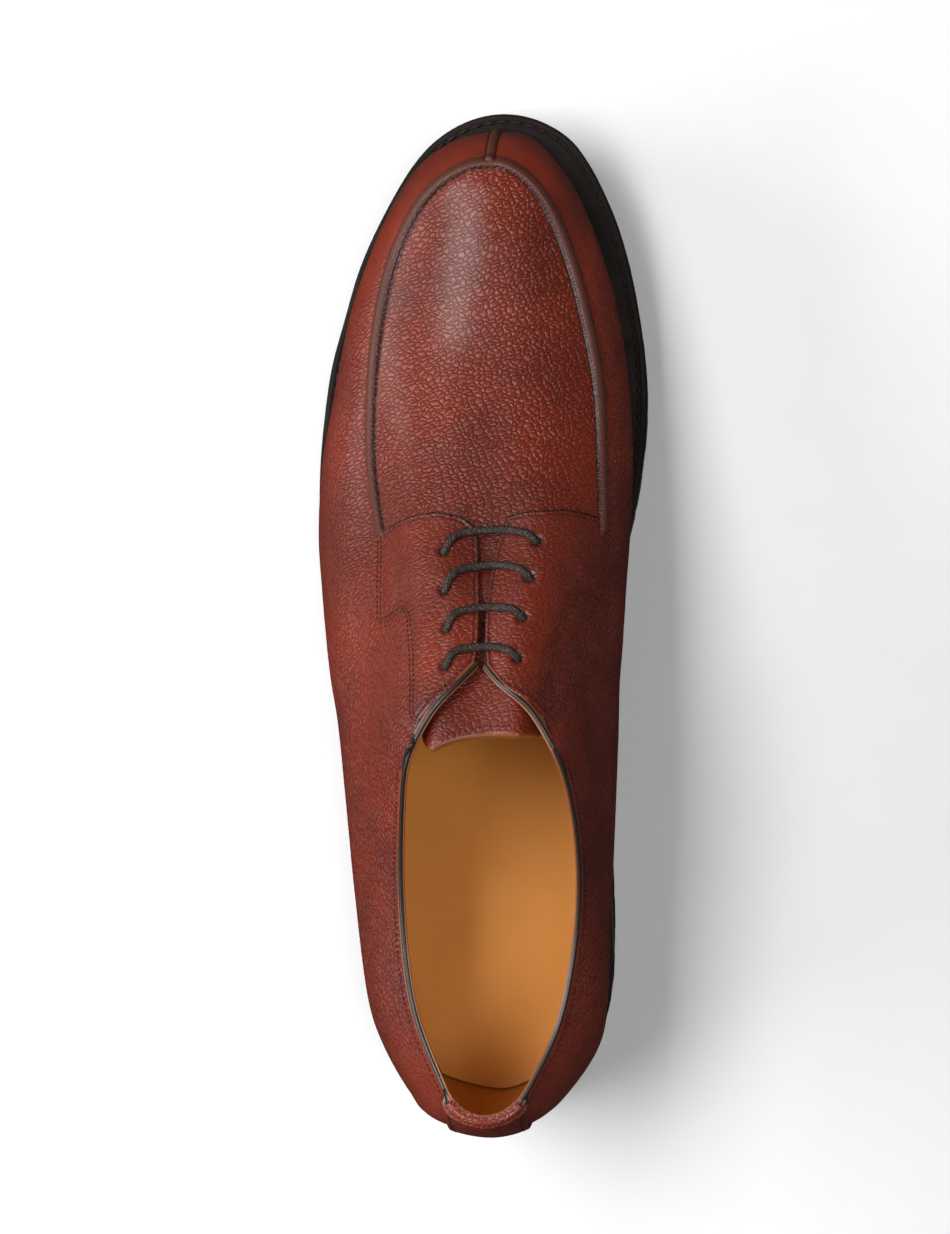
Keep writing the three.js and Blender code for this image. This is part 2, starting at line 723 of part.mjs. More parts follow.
// Both sides as one surface, joined along the spine
function formSurfaceWithSpine(outer, inner, rows) {
  const left = formSurface(outer, rows, false);
  const right = formSurface(inner, rows, false);
  const points = [...left.attributes.position.array, ...right.attributes.position.array];
  const shift = left.attributes.position.count;
  const index = [...left.index.array, ...Array.from(right.index.array, (i) => i + shift)];
  const both = new THREE.BufferGeometry();
  both.setAttribute('position', new THREE.Float32BufferAttribute(points, 3));
  both.setIndex(index);
  const joined = mergeVertices(both, 1e-3);
  const flat = new Float32Array(joined.attributes.position.count);
  joined.setAttribute('relief', new THREE.Float32BufferAttribute(flat, 1));
  joined.computeVertexNormals();
  return joined;
}

// Facings: plan outlines, place along the sole and mm from the throat's centre line
const OUTER_FACING = [
  [0.5822, -32.7], [0.589, -27.4], [0.593, -23], [0.597, -15.3], [0.592, -7.7], [0.581, -3.3],
  [0.555, -2.4], [0.516, -1.4], [0.471, -0.6], [0.452, -0.5], [0.432, -6.1], [0.419, -11.3],
  [0.405, -15.4], [0.409, -17.2], [0.423, -17.7], [0.466, -19.3], [0.501, -21.1], [0.512, -23.3],
  [0.498, -31.2],
];
const INNER_FACING = [
  [0.5935, 33], [0.597, 27.6], [0.599, 21], [0.5965, 9.7], [0.592, 5.6], [0.564, 2.8],
  [0.537, 1.2], [0.506, 0.5], [0.471, 0.2], [0.452, 0.2], [0.442, 1.8], [0.429, 6.6],
  [0.419, 12.4], [0.405, 15.4], [0.409, 17], [0.423, 16.6], [0.437, 16.6], [0.468, 18.1],
  [0.505, 21.6], [0.521, 24.3], [0.5235, 29.5], [0.5125, 33.5],
];

// Lace holes: place along the sole, mm from the centre line on the outer and the inner side
const LACE_HOLES = [
  [0.555, -13, 0.5645, 14.4], [0.519, -12, 0.531, 12.8],
  [0.484, -10.6, 0.4945, 11.2], [0.450, -10.3, 0.457, 10.3],
];

const holeSides = 10;
const planPoint = ([place, x]) => [throatCentre + x, place * soleLength];

function disc(x, y, radius, sides) {
  const outline = [];
  for (let i = 0; i < sides; i += 1) {
    const angle = (i / sides) * Math.PI * 2;
    outline.push([x + radius * Math.cos(angle), y + radius * Math.sin(angle)]);
  }
  return outline;
}

function facingSolid(outline, side) {
  const sheet = thicken(instepSurface(), gap + facingThickness, facingThickness);
  let piece = sheet.intersect(prism(outline.map(planPoint), 0, overAll));
  for (const row of LACE_HOLES) {
    const [x, y] = planPoint(side < 0 ? [row[0], row[1]] : [row[2], row[3]]);
    const hole = disc(x, y, laceDiameter / 2 + holeClearance, holeSides);
    piece = piece.subtract(prism(hole, 0, overAll));
  }
  return piece;
}

// Tongue: under the throat, its top edge rounded and standing in the collar's opening
const TONGUE_OUTLINE = [
  [0.386, -15], [0.39, -17.5], [0.40, -18.6], [0.5, -20], [0.6, -20], [0.6, 20], [0.5, 20],
  [0.40, 18.6], [0.39, 17.5], [0.386, 15],
];

function tongueSolid() {
  const sheet = thicken(instepSurface(), -upperWall - gap, tongueThickness);
  return sheet.intersect(prism(TONGUE_OUTLINE.map(planPoint), 0, overAll));
}

// Back strip: down the middle of the heel
const BACK_STRIP_ROWS = [0.12, 0.5, 1, 1.5, 2, 2.5, 3.2, 4, 5].map((row) => [row, 0]);

function backStripSolid() {
  const inner = [2, 1.5, 1, 0.5].map((place) => [1, place]);
  const outer = [0, 0.5, 1, 1.5, 2].map((place) => [-1, place]);
  const surface = formSurface([...inner, ...outer], BACK_STRIP_ROWS, false);
  const sheet = thicken(surface, gap + backStripThickness, backStripThickness);
  const half = backStripWidth / 2;
  const strip = [[heelCentre - half, -half], [heelCentre + half, -half],
    [heelCentre + half, 2 * half], [heelCentre - half, 2 * half]];
  return sheet.intersect(prism(strip, 0, overAll));
}

// Lace bars: one waxed cord across the throat at each pair of holes, bowed towards the toe.
// Each lies on the facings with the fit's gap and spans the slit between them.
const laceBow = 5.2;
const laceSides = 8;
const laceSteps = 14;
const probeGrowth = 1.5;
const BAR_PLACES = [0, 0.1, 0.22, 0.36, 0.5, 0.64, 0.78, 0.9, 1];

// Highest point of the facings near a place, looking further out where the slit lies under it
function topHeight(solids, x, y, reach) {
  const probe = prism(disc(x, y, reach, laceSides), 0, overAll);
  const cuts = solids.map((solid) => solid.intersect(probe)).filter((cut) => !cut.isEmpty());
  if (cuts.length === 0) return topHeight(solids, x, y, reach * probeGrowth);
  return Math.max(...cuts.map((cut) => cut.boundingBox().max[2]));
}

function laceBarSolid(row, facings) {
  const [x1, y1] = planPoint([row[0], row[1]]);
  const [x2, y2] = planPoint([row[2], row[3]]);
  const radius = laceDiameter / 2;
  const heights = BAR_PLACES.map((t) => {
    const x = lerp(x1, x2, t);
    const y = lerp(y1, y2, t) + laceBow * Math.sin(Math.PI * t);
    return vector(x, y, topHeight(facings, x, y, radius) + radius + gap);
  });
  const route = new THREE.CatmullRomCurve3(heights, false, 'centripetal');
  const section = new THREE.Shape(disc(0, 0, radius, laceSides).map(([x, y]) => new THREE.Vector2(x, y)));
  const geometry = new THREE.ExtrudeGeometry(section, { steps: laceSteps, extrudePath: route });
  return geometrySolid(geometry);
}

// Finishes, as on the shoe
const LEATHER = { color: 0x82382a, roughness: 0.42, metalness: 0 };
const SOLE_EDGE = { color: 0x3a3230, roughness: 0.5, metalness: 0 };
const TREAD_RUBBER = { color: 0x2d2d2b, roughness: 0.7, metalness: 0 };
const LINING = { color: 0xbe823c, roughness: 0.6, metalness: 0 };
const CORD = { color: 0x3c3430, roughness: 0.55, metalness: 0 };

const shoe = new THREE.Group();

function addPiece(name, solid, finish) {
  const mesh = new THREE.Mesh(solidGeometry(solid), new THREE.MeshStandardMaterial(finish));
  mesh.name = name;
  shoe.add(mesh);
  return solid;
}

addPiece('outsole', outsoleSolid(), TREAD_RUBBER);
addPiece('heel', heelSolid(), TREAD_RUBBER);
addPiece('midsole', midsoleSolid(), SOLE_EDGE);
addPiece('welt', weltSolid(), SOLE_EDGE);
addPiece('insole', insoleSolid(), LINING);
addPiece('upper', upperSolid(), LEATHER);
addPiece('tongue', tongueSolid(), LEATHER);
const outerFacing = addPiece('facing_outer', facingSolid(OUTER_FACING, -1), LEATHER);
const innerFacing = addPiece('facing_inner', facingSolid(INNER_FACING, 1), LEATHER);
addPiece('back_strip', backStripSolid(), LEATHER);
LACE_HOLES.forEach((row, i) => {
  addPiece(`lace_bar_${i + 1}`, laceBarSolid(row, [outerFacing, innerFacing]), CORD);
});

// The origin: middle of the box, on the floor
shoe.updateMatrixWorld(true);
const box = new THREE.Box3().setFromObject(shoe);
const middle = box.getCenter(vector(0, 0, 0));
shoe.position.set(-middle.x, -middle.y, -box.min.z);

export default shoe;
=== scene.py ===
# %% [markdown]
# # An apron toe derby, dressed
# The left shoe of a pair: a split toe with a raised apron seam, open facings laced over a tongue, and a
# lugged rubber sole under a stitched welt. The construction is already there as plain solids. This lesson
# gives them the leather, the seams, the stitches and the finish, piece by piece, in the same frame and at
# the real size.
# %% Load the fixed frame
import math

import bmesh
import bpy
import numpy as np
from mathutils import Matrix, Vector


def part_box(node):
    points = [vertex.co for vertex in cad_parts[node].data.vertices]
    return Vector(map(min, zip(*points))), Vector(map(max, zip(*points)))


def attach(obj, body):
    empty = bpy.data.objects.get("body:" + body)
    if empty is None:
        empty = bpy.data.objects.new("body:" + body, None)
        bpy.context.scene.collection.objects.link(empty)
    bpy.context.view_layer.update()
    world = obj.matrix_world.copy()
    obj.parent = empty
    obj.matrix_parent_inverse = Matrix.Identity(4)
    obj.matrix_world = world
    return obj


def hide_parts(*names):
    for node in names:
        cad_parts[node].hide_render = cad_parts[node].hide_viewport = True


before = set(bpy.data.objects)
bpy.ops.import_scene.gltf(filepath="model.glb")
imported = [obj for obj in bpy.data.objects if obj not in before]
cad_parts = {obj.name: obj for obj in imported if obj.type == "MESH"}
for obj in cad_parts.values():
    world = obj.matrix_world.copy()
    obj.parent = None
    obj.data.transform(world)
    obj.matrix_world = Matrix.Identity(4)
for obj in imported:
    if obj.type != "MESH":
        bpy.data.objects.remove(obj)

bpy.context.view_layer.update()
MM = 0.001

# %% [markdown]
# ## The picture's point of view
# The pair was photographed from straight above, close enough for some perspective, with the lens over the
# gap between the two shoes. A camera needs only its place and what it looks at. Keeping the lens where it
# was and turning it to the shoe keeps every overlap between the parts as it was, with the shoe in the
# middle.
# %% Camera
SHOE_AXIS_X = 4.2 * MM              # the heel's centre line, from the middle of the box
CAMERA_SIDE = 62.7 * MM             # how far the lens stands to the inner side of that line
CAMERA_ALONG = 1.0 * MM
CAMERA_HEIGHT = 800 * MM
LENS = 73.3


def look_at(obj, target):
    """Turns an object so that its -Z axis points to the target and its Y axis stays towards the toe."""
    direction = Vector(target) - obj.location
    side = direction.cross(Vector((0, 1, 0))).normalized()
    up = side.cross(direction).normalized()
    turn = obj.rotation_euler.to_matrix()
    for row in range(3):
        turn[row][0], turn[row][1], turn[row][2] = side[row], up[row], -direction.normalized()[row]
    obj.rotation_euler = turn.to_euler()


camera = bpy.data.objects.new("camera", bpy.data.cameras.new("camera"))
bpy.context.scene.collection.objects.link(camera)
camera.location = (SHOE_AXIS_X + CAMERA_SIDE, CAMERA_ALONG, CAMERA_HEIGHT)
camera.data.lens = LENS
camera.data.clip_start = 0.01
look_at(camera, (0.0, 0.0, 40 * MM))
bpy.context.scene.camera = camera
print("camera at", tuple(round(v, 3) for v in camera.location))

# %% [markdown]
# ## Light
# A shoe like this is lit with large soft boxes, so that the pebbled leather shows broad, pale reflections
# instead of hard sparks. The main box hangs high over the outer side, a long low one lights the outer
# flank, a weak one stands in front of the toe, and one over the inner side fills the collar and softens
# the shadow. The room itself glows: weakly as a light, hardly at all in the polish, and bright only where
# it is seen directly.
# %% Lights and floor
LIGHTS = {
    # name: (place, size across and along, power in watts)
    "box_key": ((-0.44, 0.14, 1.0), (0.42, 0.80), 8.6),
    "box_outer": ((-0.95, -0.08, 0.50), (0.30, 1.1), 9.0),
    "box_toe": ((-0.25, 0.95, 0.65), (0.4, 0.25), 0.5),
    "box_top": ((0.34, -0.12, 1.1), (0.40, 0.50), 4.6),
}
for name, (place, size, power) in LIGHTS.items():
    lamp = bpy.data.lights.new(name, "AREA")
    lamp.shape = "RECTANGLE"
    lamp.size, lamp.size_y = size
    lamp.energy = power
    holder = bpy.data.objects.new(name, lamp)
    holder.location = place
    look_at(holder, (0.0, 0.0, 0.03))
    bpy.context.scene.collection.objects.link(holder)

world = bpy.data.worlds.new("studio")
bpy.context.scene.world = world
world.use_nodes = True
ROOM_GLOW, POLISH_GLOW, BACKDROP = 0.04, 0.008, 0.85    # the room for soft light, in polish and seen directly
room = world.node_tree
ray = room.nodes.new("ShaderNodeLightPath")
glow = room.nodes.new("ShaderNodeMix")
glow.inputs["A"].default_value, glow.inputs["B"].default_value = ROOM_GLOW, POLISH_GLOW
room.links.new(ray.outputs["Is Glossy Ray"], glow.inputs["Factor"])
seen = room.nodes.new("ShaderNodeMix")
seen.inputs["B"].default_value = BACKDROP
room.links.new(glow.outputs["Result"], seen.inputs["A"])
room.links.new(ray.outputs["Is Camera Ray"], seen.inputs["Factor"])
room.links.new(seen.outputs["Result"], room.nodes["Background"].inputs["Strength"])
room.nodes["Background"].inputs["Color"].default_value = (1.0, 1.0, 1.0, 1.0)
bpy.context.scene.view_settings.view_transform = "Standard"

# %% [markdown]
# ## The last, as a function
# A shoe takes its form from the last. The twenty sections of the solids are written here again, a little
# closer to the picture's outline at the outer heel. Each starts at the feather edge on the welt, swings
# out over the widest line, leans in to the seam line and ends at the top line or at the middle of the
# instep. A smooth curve along the sections and a smooth curve up each of them give a point of the form
# for any pair of places, for whole arrays at once.
# %% Driving sizes and sections
SOLE_LENGTH = 310.0
BALL_WIDTH, HEEL_WIDTH = 97.0, 73.0
BACK_HEIGHT, INSTEP_HEIGHT, TOE_HEIGHT = 61.5, 89.0, 30.0
HEEL_LIFT, TOE_LIFT = 16.4, 14.9
TREAD, MIDSOLE, WELT, GAP = 7.0, 3.3, 2.6, 0.3
UPPER_WALL, TONGUE, INSOLE_THICKNESS = 2.2, 1.8, 5.0
SEAM_HEIGHT = 1.4
LACE_DIAMETER = 2.5
THROAT_CENTRE, HEEL_CENTRE = 2.4, 2.5

HEEL_RISE = np.array([
    (0, 1), (0.065, 0.94), (0.12, 0.866), (0.168, 0.805), (0.239, 0.701), (0.287, 0.628),
    (0.335, 0.53), (0.366, 0.412), (0.4, 0.28), (0.442, 0.134), (0.484, 0.05), (0.526, 0),
])
SPRING_START, SPRING_POWER = 0.555, 1.6

# Two lines to a section, heel first. The first has the widest line (place, outer, inner, height), the
# tuck of the feather edge (outer, inner) and the seam line, the second the top line and the fullness
# below and above the seam line. Places are shares of the sole's length, the rest are shares of the width
# or height there.
SECTIONS = np.array([
    (0.012, -0.034, 0.034, 0.376, 0.070, 0.070, 0.017, -0.034, 0.034, 0.720,
     0.037, -0.034, 0.034, 1.000, 0.045, 0.50),
    (0.025, 0.225, 0.222, 0.371, 0.072, 0.072, 0.028, 0.158, 0.199, 0.724,
     0.047, 0.082, 0.151, 0.988, 0.05, 0.51),
    (0.045, 0.310, 0.333, 0.361, 0.074, 0.074, 0.052, 0.247, 0.295, 0.689,
     0.071, 0.130, 0.212, 0.947, 0.06, 0.52),
    (0.088, 0.418, 0.457, 0.350, 0.071, 0.071, 0.097, 0.356, 0.404, 0.663,
     0.110, 0.212, 0.295, 0.880, 0.08, 0.54),
    (0.134, 0.483, 0.493, 0.343, 0.068, 0.066, 0.142, 0.425, 0.452, 0.654,
     0.155, 0.267, 0.349, 0.857, 0.08, 0.55),
    (0.229, 0.541, 0.504, 0.338, 0.068, 0.068, 0.229, 0.459, 0.473, 0.688,
     0.232, 0.295, 0.395, 0.912, 0.08, 0.55),
    (0.316, 0.562, 0.496, 0.256, 0.073, 0.090, 0.316, 0.452, 0.458, 0.627,
     0.310, 0.274, 0.381, 0.899, 0.09, 0.56),
    (0.394, 0.548, 0.465, 0.236, 0.073, 0.100, 0.390, 0.405, 0.399, 0.667,
     0.379, 0.211, 0.292, 0.967, 0.10, 0.60),
    (0.435, 0.558, 0.450, 0.235, 0.070, 0.098, 0.432, 0.367, 0.362, 0.677,
     0.381, 0.099, 0.154, 1.020, 0.11, 0.68),
    (0.474, 0.558, 0.438, 0.222, 0.064, 0.087, 0.471, 0.346, 0.346, 0.654,
     0.382, -0.032, 0.032, 1.040, 0.12, 0.75),
    (0.526, 0.556, 0.431, 0.205, 0.053, 0.069, 0.523, 0.324, 0.340, 0.619,
     0.445, -0.029, 0.029, 0.942, 0.12, 0.75),
    (0.581, 0.556, 0.433, 0.208, 0.041, 0.050, 0.574, 0.315, 0.360, 0.585,
     0.503, -0.026, 0.026, 0.835, 0.12, 0.75),
    (0.652, 0.544, 0.445, 0.245, 0.031, 0.035, 0.648, 0.355, 0.354, 0.616,
     0.574, -0.024, 0.024, 0.746, 0.12, 0.75),
    (0.726, 0.501, 0.435, 0.343, 0.025, 0.027, 0.723, 0.359, 0.342, 0.786,
     0.661, -0.023, 0.023, 0.869, 0.12, 0.75),
    (0.800, 0.452, 0.399, 0.390, 0.020, 0.021, 0.790, 0.338, 0.303, 0.907,
     0.748, -0.022, 0.022, 1.135, 0.12, 0.75),
    (0.865, 0.379, 0.340, 0.330, 0.015, 0.016, 0.845, 0.297, 0.256, 0.845,
     0.819, -0.021, 0.021, 1.168, 0.12, 0.75),
    (0.916, 0.299, 0.273, 0.280, 0.013, 0.013, 0.889, 0.231, 0.199, 0.840,
     0.868, -0.019, 0.019, 1.092, 0.12, 0.75),
    (0.952, 0.211, 0.196, 0.233, 0.011, 0.011, 0.916, 0.155, 0.140, 0.881,
     0.897, -0.016, 0.016, 1.030, 0.12, 0.72),
    (0.973, 0.093, 0.124, 0.203, 0.010, 0.010, 0.932, 0.067, 0.072, 0.887,
     0.911, -0.014, 0.014, 0.997, 0.11, 0.70),
    (0.979, -0.031, 0.031, 0.190, 0.010, 0.010, 0.936, -0.008, 0.008, 0.872,
     0.918, -0.012, 0.012, 0.973, 0.10, 0.70),
])
LAST_SECTION = len(SECTIONS) - 1
SPINE_SECTION = 9
WIDE, TUCK, SEAM, TOP, ROUND = 0, 4, 6, 10, 14

# %% [markdown]
# The form is worked out in steps: smooth steps and cubics between numbers first, then widths and heights
# along the sole, then the four guide lines round the shoe, and last the curve that climbs over them. The
# alternative, a sculpted or subdivided mesh, would not let the seams and stitches find their place on it
# by numbers.
# %% Steps and cubics
def smooth(value, low, high):
    """0 below low, 1 above high, and 3t^2 - 2t^3 between them."""
    t = np.clip((value - low) / (high - low), 0, 1)
    return t * t * (3 - 2 * t)


def hermite(start, end, start_slope, end_slope, t):
    """The cubic that leaves start and reaches end with the given slopes."""
    t2, t3 = t * t, t * t * t
    value = (2 * t3 - 3 * t2 + 1) * start + (3 * t2 - 2 * t3) * end
    return value + (t3 - 2 * t2 + t) * start_slope + (t3 - t2) * end_slope


def catmull_rom(p0, p1, p2, p3, t):
    """The cubic between p1 and p2 whose slopes are half of what their neighbours lie apart."""
    return hermite(p1, p2, (p2 - p0) / 2, (p3 - p1) / 2, t)


def along(rows, place):
    """A smooth curve through a short table of places and values, level beyond its ends."""
    x, y = rows[:, 0], rows[:, 1]
    slopes = np.empty(len(x))
    slopes[1:-1] = (y[2:] - y[:-2]) / (x[2:] - x[:-2])
    slopes[0], slopes[-1] = (y[1] - y[0]) / (x[1] - x[0]), (y[-1] - y[-2]) / (x[-1] - x[-2])
    place = np.clip(place, x[0], x[-1])
    i = np.clip(np.searchsorted(x, place, side="right") - 1, 0, len(x) - 2)
    span = x[i + 1] - x[i]
    return hermite(y[i], y[i + 1], slopes[i] * span, slopes[i + 1] * span, (place - x[i]) / span)


# %% Widths and heights along the sole
def width_at(y):
    """The width that the shares belong to: the heel's at the back, the ball's in front."""
    return HEEL_WIDTH + (BALL_WIDTH - HEEL_WIDTH) * smooth(y / SOLE_LENGTH, 0.25, 0.6)


def height_at(y):
    """The height that the shares belong to: collar, then instep, then toe."""
    t = y / SOLE_LENGTH
    back = BACK_HEIGHT + (INSTEP_HEIGHT - BACK_HEIGHT) * smooth(t, 0.23, 0.38)
    return back + (TOE_HEIGHT - back) * smooth(t, 0.5, 0.8)


def toe_spring(y):
    """How far the sole rises from the floor in front of the ball."""
    t = np.maximum(0, y / SOLE_LENGTH - SPRING_START) / (1 - SPRING_START)
    return TOE_LIFT * t ** SPRING_POWER


def welt_top(y):
    """Height of the welt's upper face above the floor."""
    stack = TREAD + MIDSOLE + WELT + 2 * GAP
    return stack + HEEL_LIFT * along(HEEL_RISE, y / SOLE_LENGTH) + toe_spring(y)


# %% Guide lines round the shoe
def guide_points(column, side):
    """The points of one guide line at every section, with one more beyond each end on the other side."""
    order = [(1, -side)] + [(i, side) for i in range(LAST_SECTION + 1)] + [(LAST_SECTION - 1, -side)]
    index = np.array([i for i, _ in order])
    sides = np.array([s for _, s in order])
    y = SECTIONS[index, column] * SOLE_LENGTH
    share = np.where(sides < 0, SECTIONS[index, column + 1], SECTIONS[index, column + 2])
    z = welt_top(y) + GAP + SECTIONS[index, column + 3] * height_at(y)
    return np.stack([sides * share * width_at(y), y, z], axis=1)


def feather_points(side):
    """The widest line moved in by the tuck along its own normal, and down onto the welt."""
    wide = guide_points(WIDE, side)
    around = np.vstack([guide_points(WIDE, -side)[3:4], wide, guide_points(WIDE, -side)[-4:-3]])
    heading = around[2:] - around[:-2]
    inward = np.stack([-heading[:, 1], heading[:, 0]], axis=1) * side
    inward /= np.linalg.norm(inward, axis=1, keepdims=True)
    column = np.full(len(wide), TUCK if side < 0 else TUCK + 1)
    column[[0, -1]] = TUCK + 1 if side < 0 else TUCK
    rows = np.concatenate([[1], np.arange(LAST_SECTION + 1), [LAST_SECTION - 1]])
    tuck = SECTIONS[rows, column] * width_at(wide[:, 1])
    points = wide.copy()
    points[:, :2] += inward * tuck[:, None]
    points[:, 2] = welt_top(points[:, 1]) + GAP
    return points


GUIDES = {
    side: {"feather": feather_points(side), "wide": guide_points(WIDE, side),
           "seam": guide_points(SEAM, side), "top": guide_points(TOP, side)}
    for side in (-1, 1)
}


def guide_line(name, side, place):
    """A guide line at any place between its sections."""
    points = GUIDES[side][name]
    i = np.clip(np.floor(place).astype(int), 0, LAST_SECTION - 1)
    p0, p1, p2, p3 = (points[i + k] for k in range(4))
    if name == "top":
        p3 = np.where((i == SPINE_SECTION - 1)[:, None], 2 * p2 - p1, p3)
        p0 = np.where((i == SPINE_SECTION)[:, None], 2 * p1 - p2, p0)
    return catmull_rom(p0, p1, p2, p3, (place - i)[:, None])


# %% Points of the form
def section_points(side, place):
    """Eight points for each section: a ghost, feather, widest, shoulder, seam, crown, top, a ghost."""
    feather, widest = guide_line("feather", side, place), guide_line("wide", side, place)
    seam, top = guide_line("seam", side, place), guide_line("top", side, place)
    numbers = np.arange(LAST_SECTION + 1)
    fullness = [np.interp(place, numbers, SECTIONS[:, ROUND + k]) for k in (0, 1)]
    out = widest - feather
    out[:, 2] = 0
    out /= np.linalg.norm(out, axis=1, keepdims=True)
    rise = seam - widest
    bulge = out * rise[:, 2:3]
    bulge[:, 2] = -np.einsum("ij,ij->i", rise, out)
    shoulder = (widest + seam) / 2 + bulge * fullness[0][:, None]
    crown = (seam + top) / 2
    crown[:, 2] = seam[:, 2] + (top[:, 2] - seam[:, 2]) * fullness[1]
    beyond = 2 * top - crown
    # Along the instep the form runs over the spine level: its last point takes the spine's own slope
    onward = guide_line("top", side, place + 1e-3) - top
    slope = onward[:, 2] / np.where(onward[:, 1] == 0, 1, onward[:, 1])
    level = crown[:, 2] + 2 * (top[:, 1] - crown[:, 1]) * slope
    beyond[:, 2] = np.where(place >= SPINE_SECTION, level, beyond[:, 2])
    return np.stack([2 * feather - widest, feather, widest, shoulder, seam, crown, top, beyond], axis=1)


def form_points(side, place, row):
    """Points of the form, in mm: place round the shoe for each column, and for each column its rows from
    0 at the feather edge through 3 at the seam line to 5 at the top."""
    points = section_points(side, place)
    i = np.clip(np.floor(row).astype(int), 0, 4)
    column = np.arange(len(place))[:, None]
    p0, p1, p2, p3 = (points[column, i + k] for k in range(4))
    return catmull_rom(p0, p1, p2, p3, (row - i)[..., None])


heel_check = form_points(1, np.array([0.0]), np.array([[0.0, 1.0, 5.0]]))
print("heel section in mm:", np.round(heel_check, 1).tolist())

# %% [markdown]
# ## The sole's outline and the origin
# The sole's edge is one closed curve through a short table of places and half widths. A centripetal curve
# through them has no loops or overshoots, whatever the spacing. Its lowest corner, set against the corner
# of the outsole's box in the fixed frame, says where the form lies in the frame.
# %% Sole outline
SOLE_OUTLINE = np.array([
    (0, -0.034, 0.034), (0.004, 0.110, 0.144), (0.016, 0.219, 0.240), (0.039, 0.322, 0.349),
    (0.084, 0.432, 0.459), (0.132, 0.486, 0.500), (0.213, 0.514, 0.503), (0.290, 0.528, 0.480),
    (0.355, 0.524, 0.435), (0.419, 0.521, 0.393), (0.484, 0.534, 0.380), (0.548, 0.554, 0.406),
    (0.600, 0.577, 0.444), (0.652, 0.576, 0.473), (0.700, 0.561, 0.487), (0.751, 0.535, 0.484),
    (0.800, 0.490, 0.464), (0.852, 0.436, 0.432), (0.900, 0.362, 0.384), (0.951, 0.260, 0.304),
    (0.976, 0.182, 0.240), (0.994, 0.077, 0.139), (1, -0.031, 0.031),
])


def centripetal(p0, p1, p2, p3, steps):
    """Cubics from p1 to p2, steps points to each. Their slopes are those of a curve whose knots lie as far
    apart as the square root of the distance between the corners."""
    pairs = ((p0, p1), (p1, p2), (p2, p3))
    d0, d1, d2 = (np.sqrt(np.linalg.norm(b - a, axis=1))[:, None] for a, b in pairs)
    start = ((p1 - p0) / d0 - (p2 - p0) / (d0 + d1) + (p2 - p1) / d1) * d1
    end = ((p2 - p1) / d1 - (p3 - p1) / (d1 + d2) + (p3 - p2) / d2) * d1
    t = (np.arange(steps) / steps)[None, :, None]
    return hermite(p1[:, None], p2[:, None], start[:, None], end[:, None], t).reshape(-1, p0.shape[1])


def closed_curve(corners, steps):
    """A closed centripetal curve through corners, with steps points to each corner."""
    return centripetal(*(np.roll(corners, shift, axis=0) for shift in (1, 0, -1, -2)), steps)


def arc_length(points):
    """Length along an open line of points, from 0 at its first."""
    steps = np.linalg.norm(np.diff(points, axis=0), axis=1)
    return np.concatenate([[0], np.cumsum(steps)])


def resample(points, count):
    """The same open line with count points at equal distances."""
    length = arc_length(points)
    at = np.linspace(0, length[-1], count)
    return np.stack([np.interp(at, length, points[:, k]) for k in range(points.shape[1])], axis=1)


def even_loop(points, count):
    """The same closed line with count points at equal distances."""
    return resample(np.vstack([points, points[:1]]), count + 1)[:-1]


inner_half = np.stack([SOLE_OUTLINE[:, 2] * width_at(SOLE_OUTLINE[:, 0] * SOLE_LENGTH),
                       SOLE_OUTLINE[:, 0] * SOLE_LENGTH], axis=1)
outer_half = np.stack([-SOLE_OUTLINE[:, 1] * width_at(SOLE_OUTLINE[:, 0] * SOLE_LENGTH),
                       SOLE_OUTLINE[:, 0] * SOLE_LENGTH], axis=1)[1:-1][::-1]
SOLE_CORNERS = np.vstack([inner_half, outer_half])
SOLE_LOOP = even_loop(closed_curve(SOLE_CORNERS, 40), 900)

coarse_loop = closed_curve(SOLE_CORNERS, 2)
low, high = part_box("outsole")
ORIGIN = np.array([low.x / MM - coarse_loop[:, 0].min(), low.y / MM - coarse_loop[:, 1].min(), 0.0])
print("outsole's width, mm:", round((high.x - low.x) / MM, 2))
print("and from its outline:", round(float(np.ptp(coarse_loop[:, 0])), 2))
print("the form's origin in the frame, mm:", np.round(ORIGIN, 2).tolist())

# %% [markdown]
# ## From numbers to pieces
# Every piece below ends as arrays of points and faces. A grid of points becomes rows of four-cornered
# faces, and several grids can be joined into one closed piece. Points that lie on each other are merged,
# sharp corners are marked by their angle, and the piece rides with the shoe and says which material slot
# it takes.
# %% Mesh helpers
def grid_faces(columns, rows, start=0, close_columns=False, close_rows=False, flip=False):
    """Corner numbers of the faces of a grid whose points are stored column after column."""
    c = np.arange(columns if close_columns else columns - 1)
    r = np.arange(rows if close_rows else rows - 1)
    c, r = np.meshgrid(c, r, indexing="ij")
    c, r = c.ravel(), r.ravel()
    cn, rn = (c + 1) % columns, (r + 1) % rows
    faces = np.stack([c * rows + r, c * rows + rn, cn * rows + rn, cn * rows + r], axis=1) + start
    return faces[:, ::-1] if flip else faces


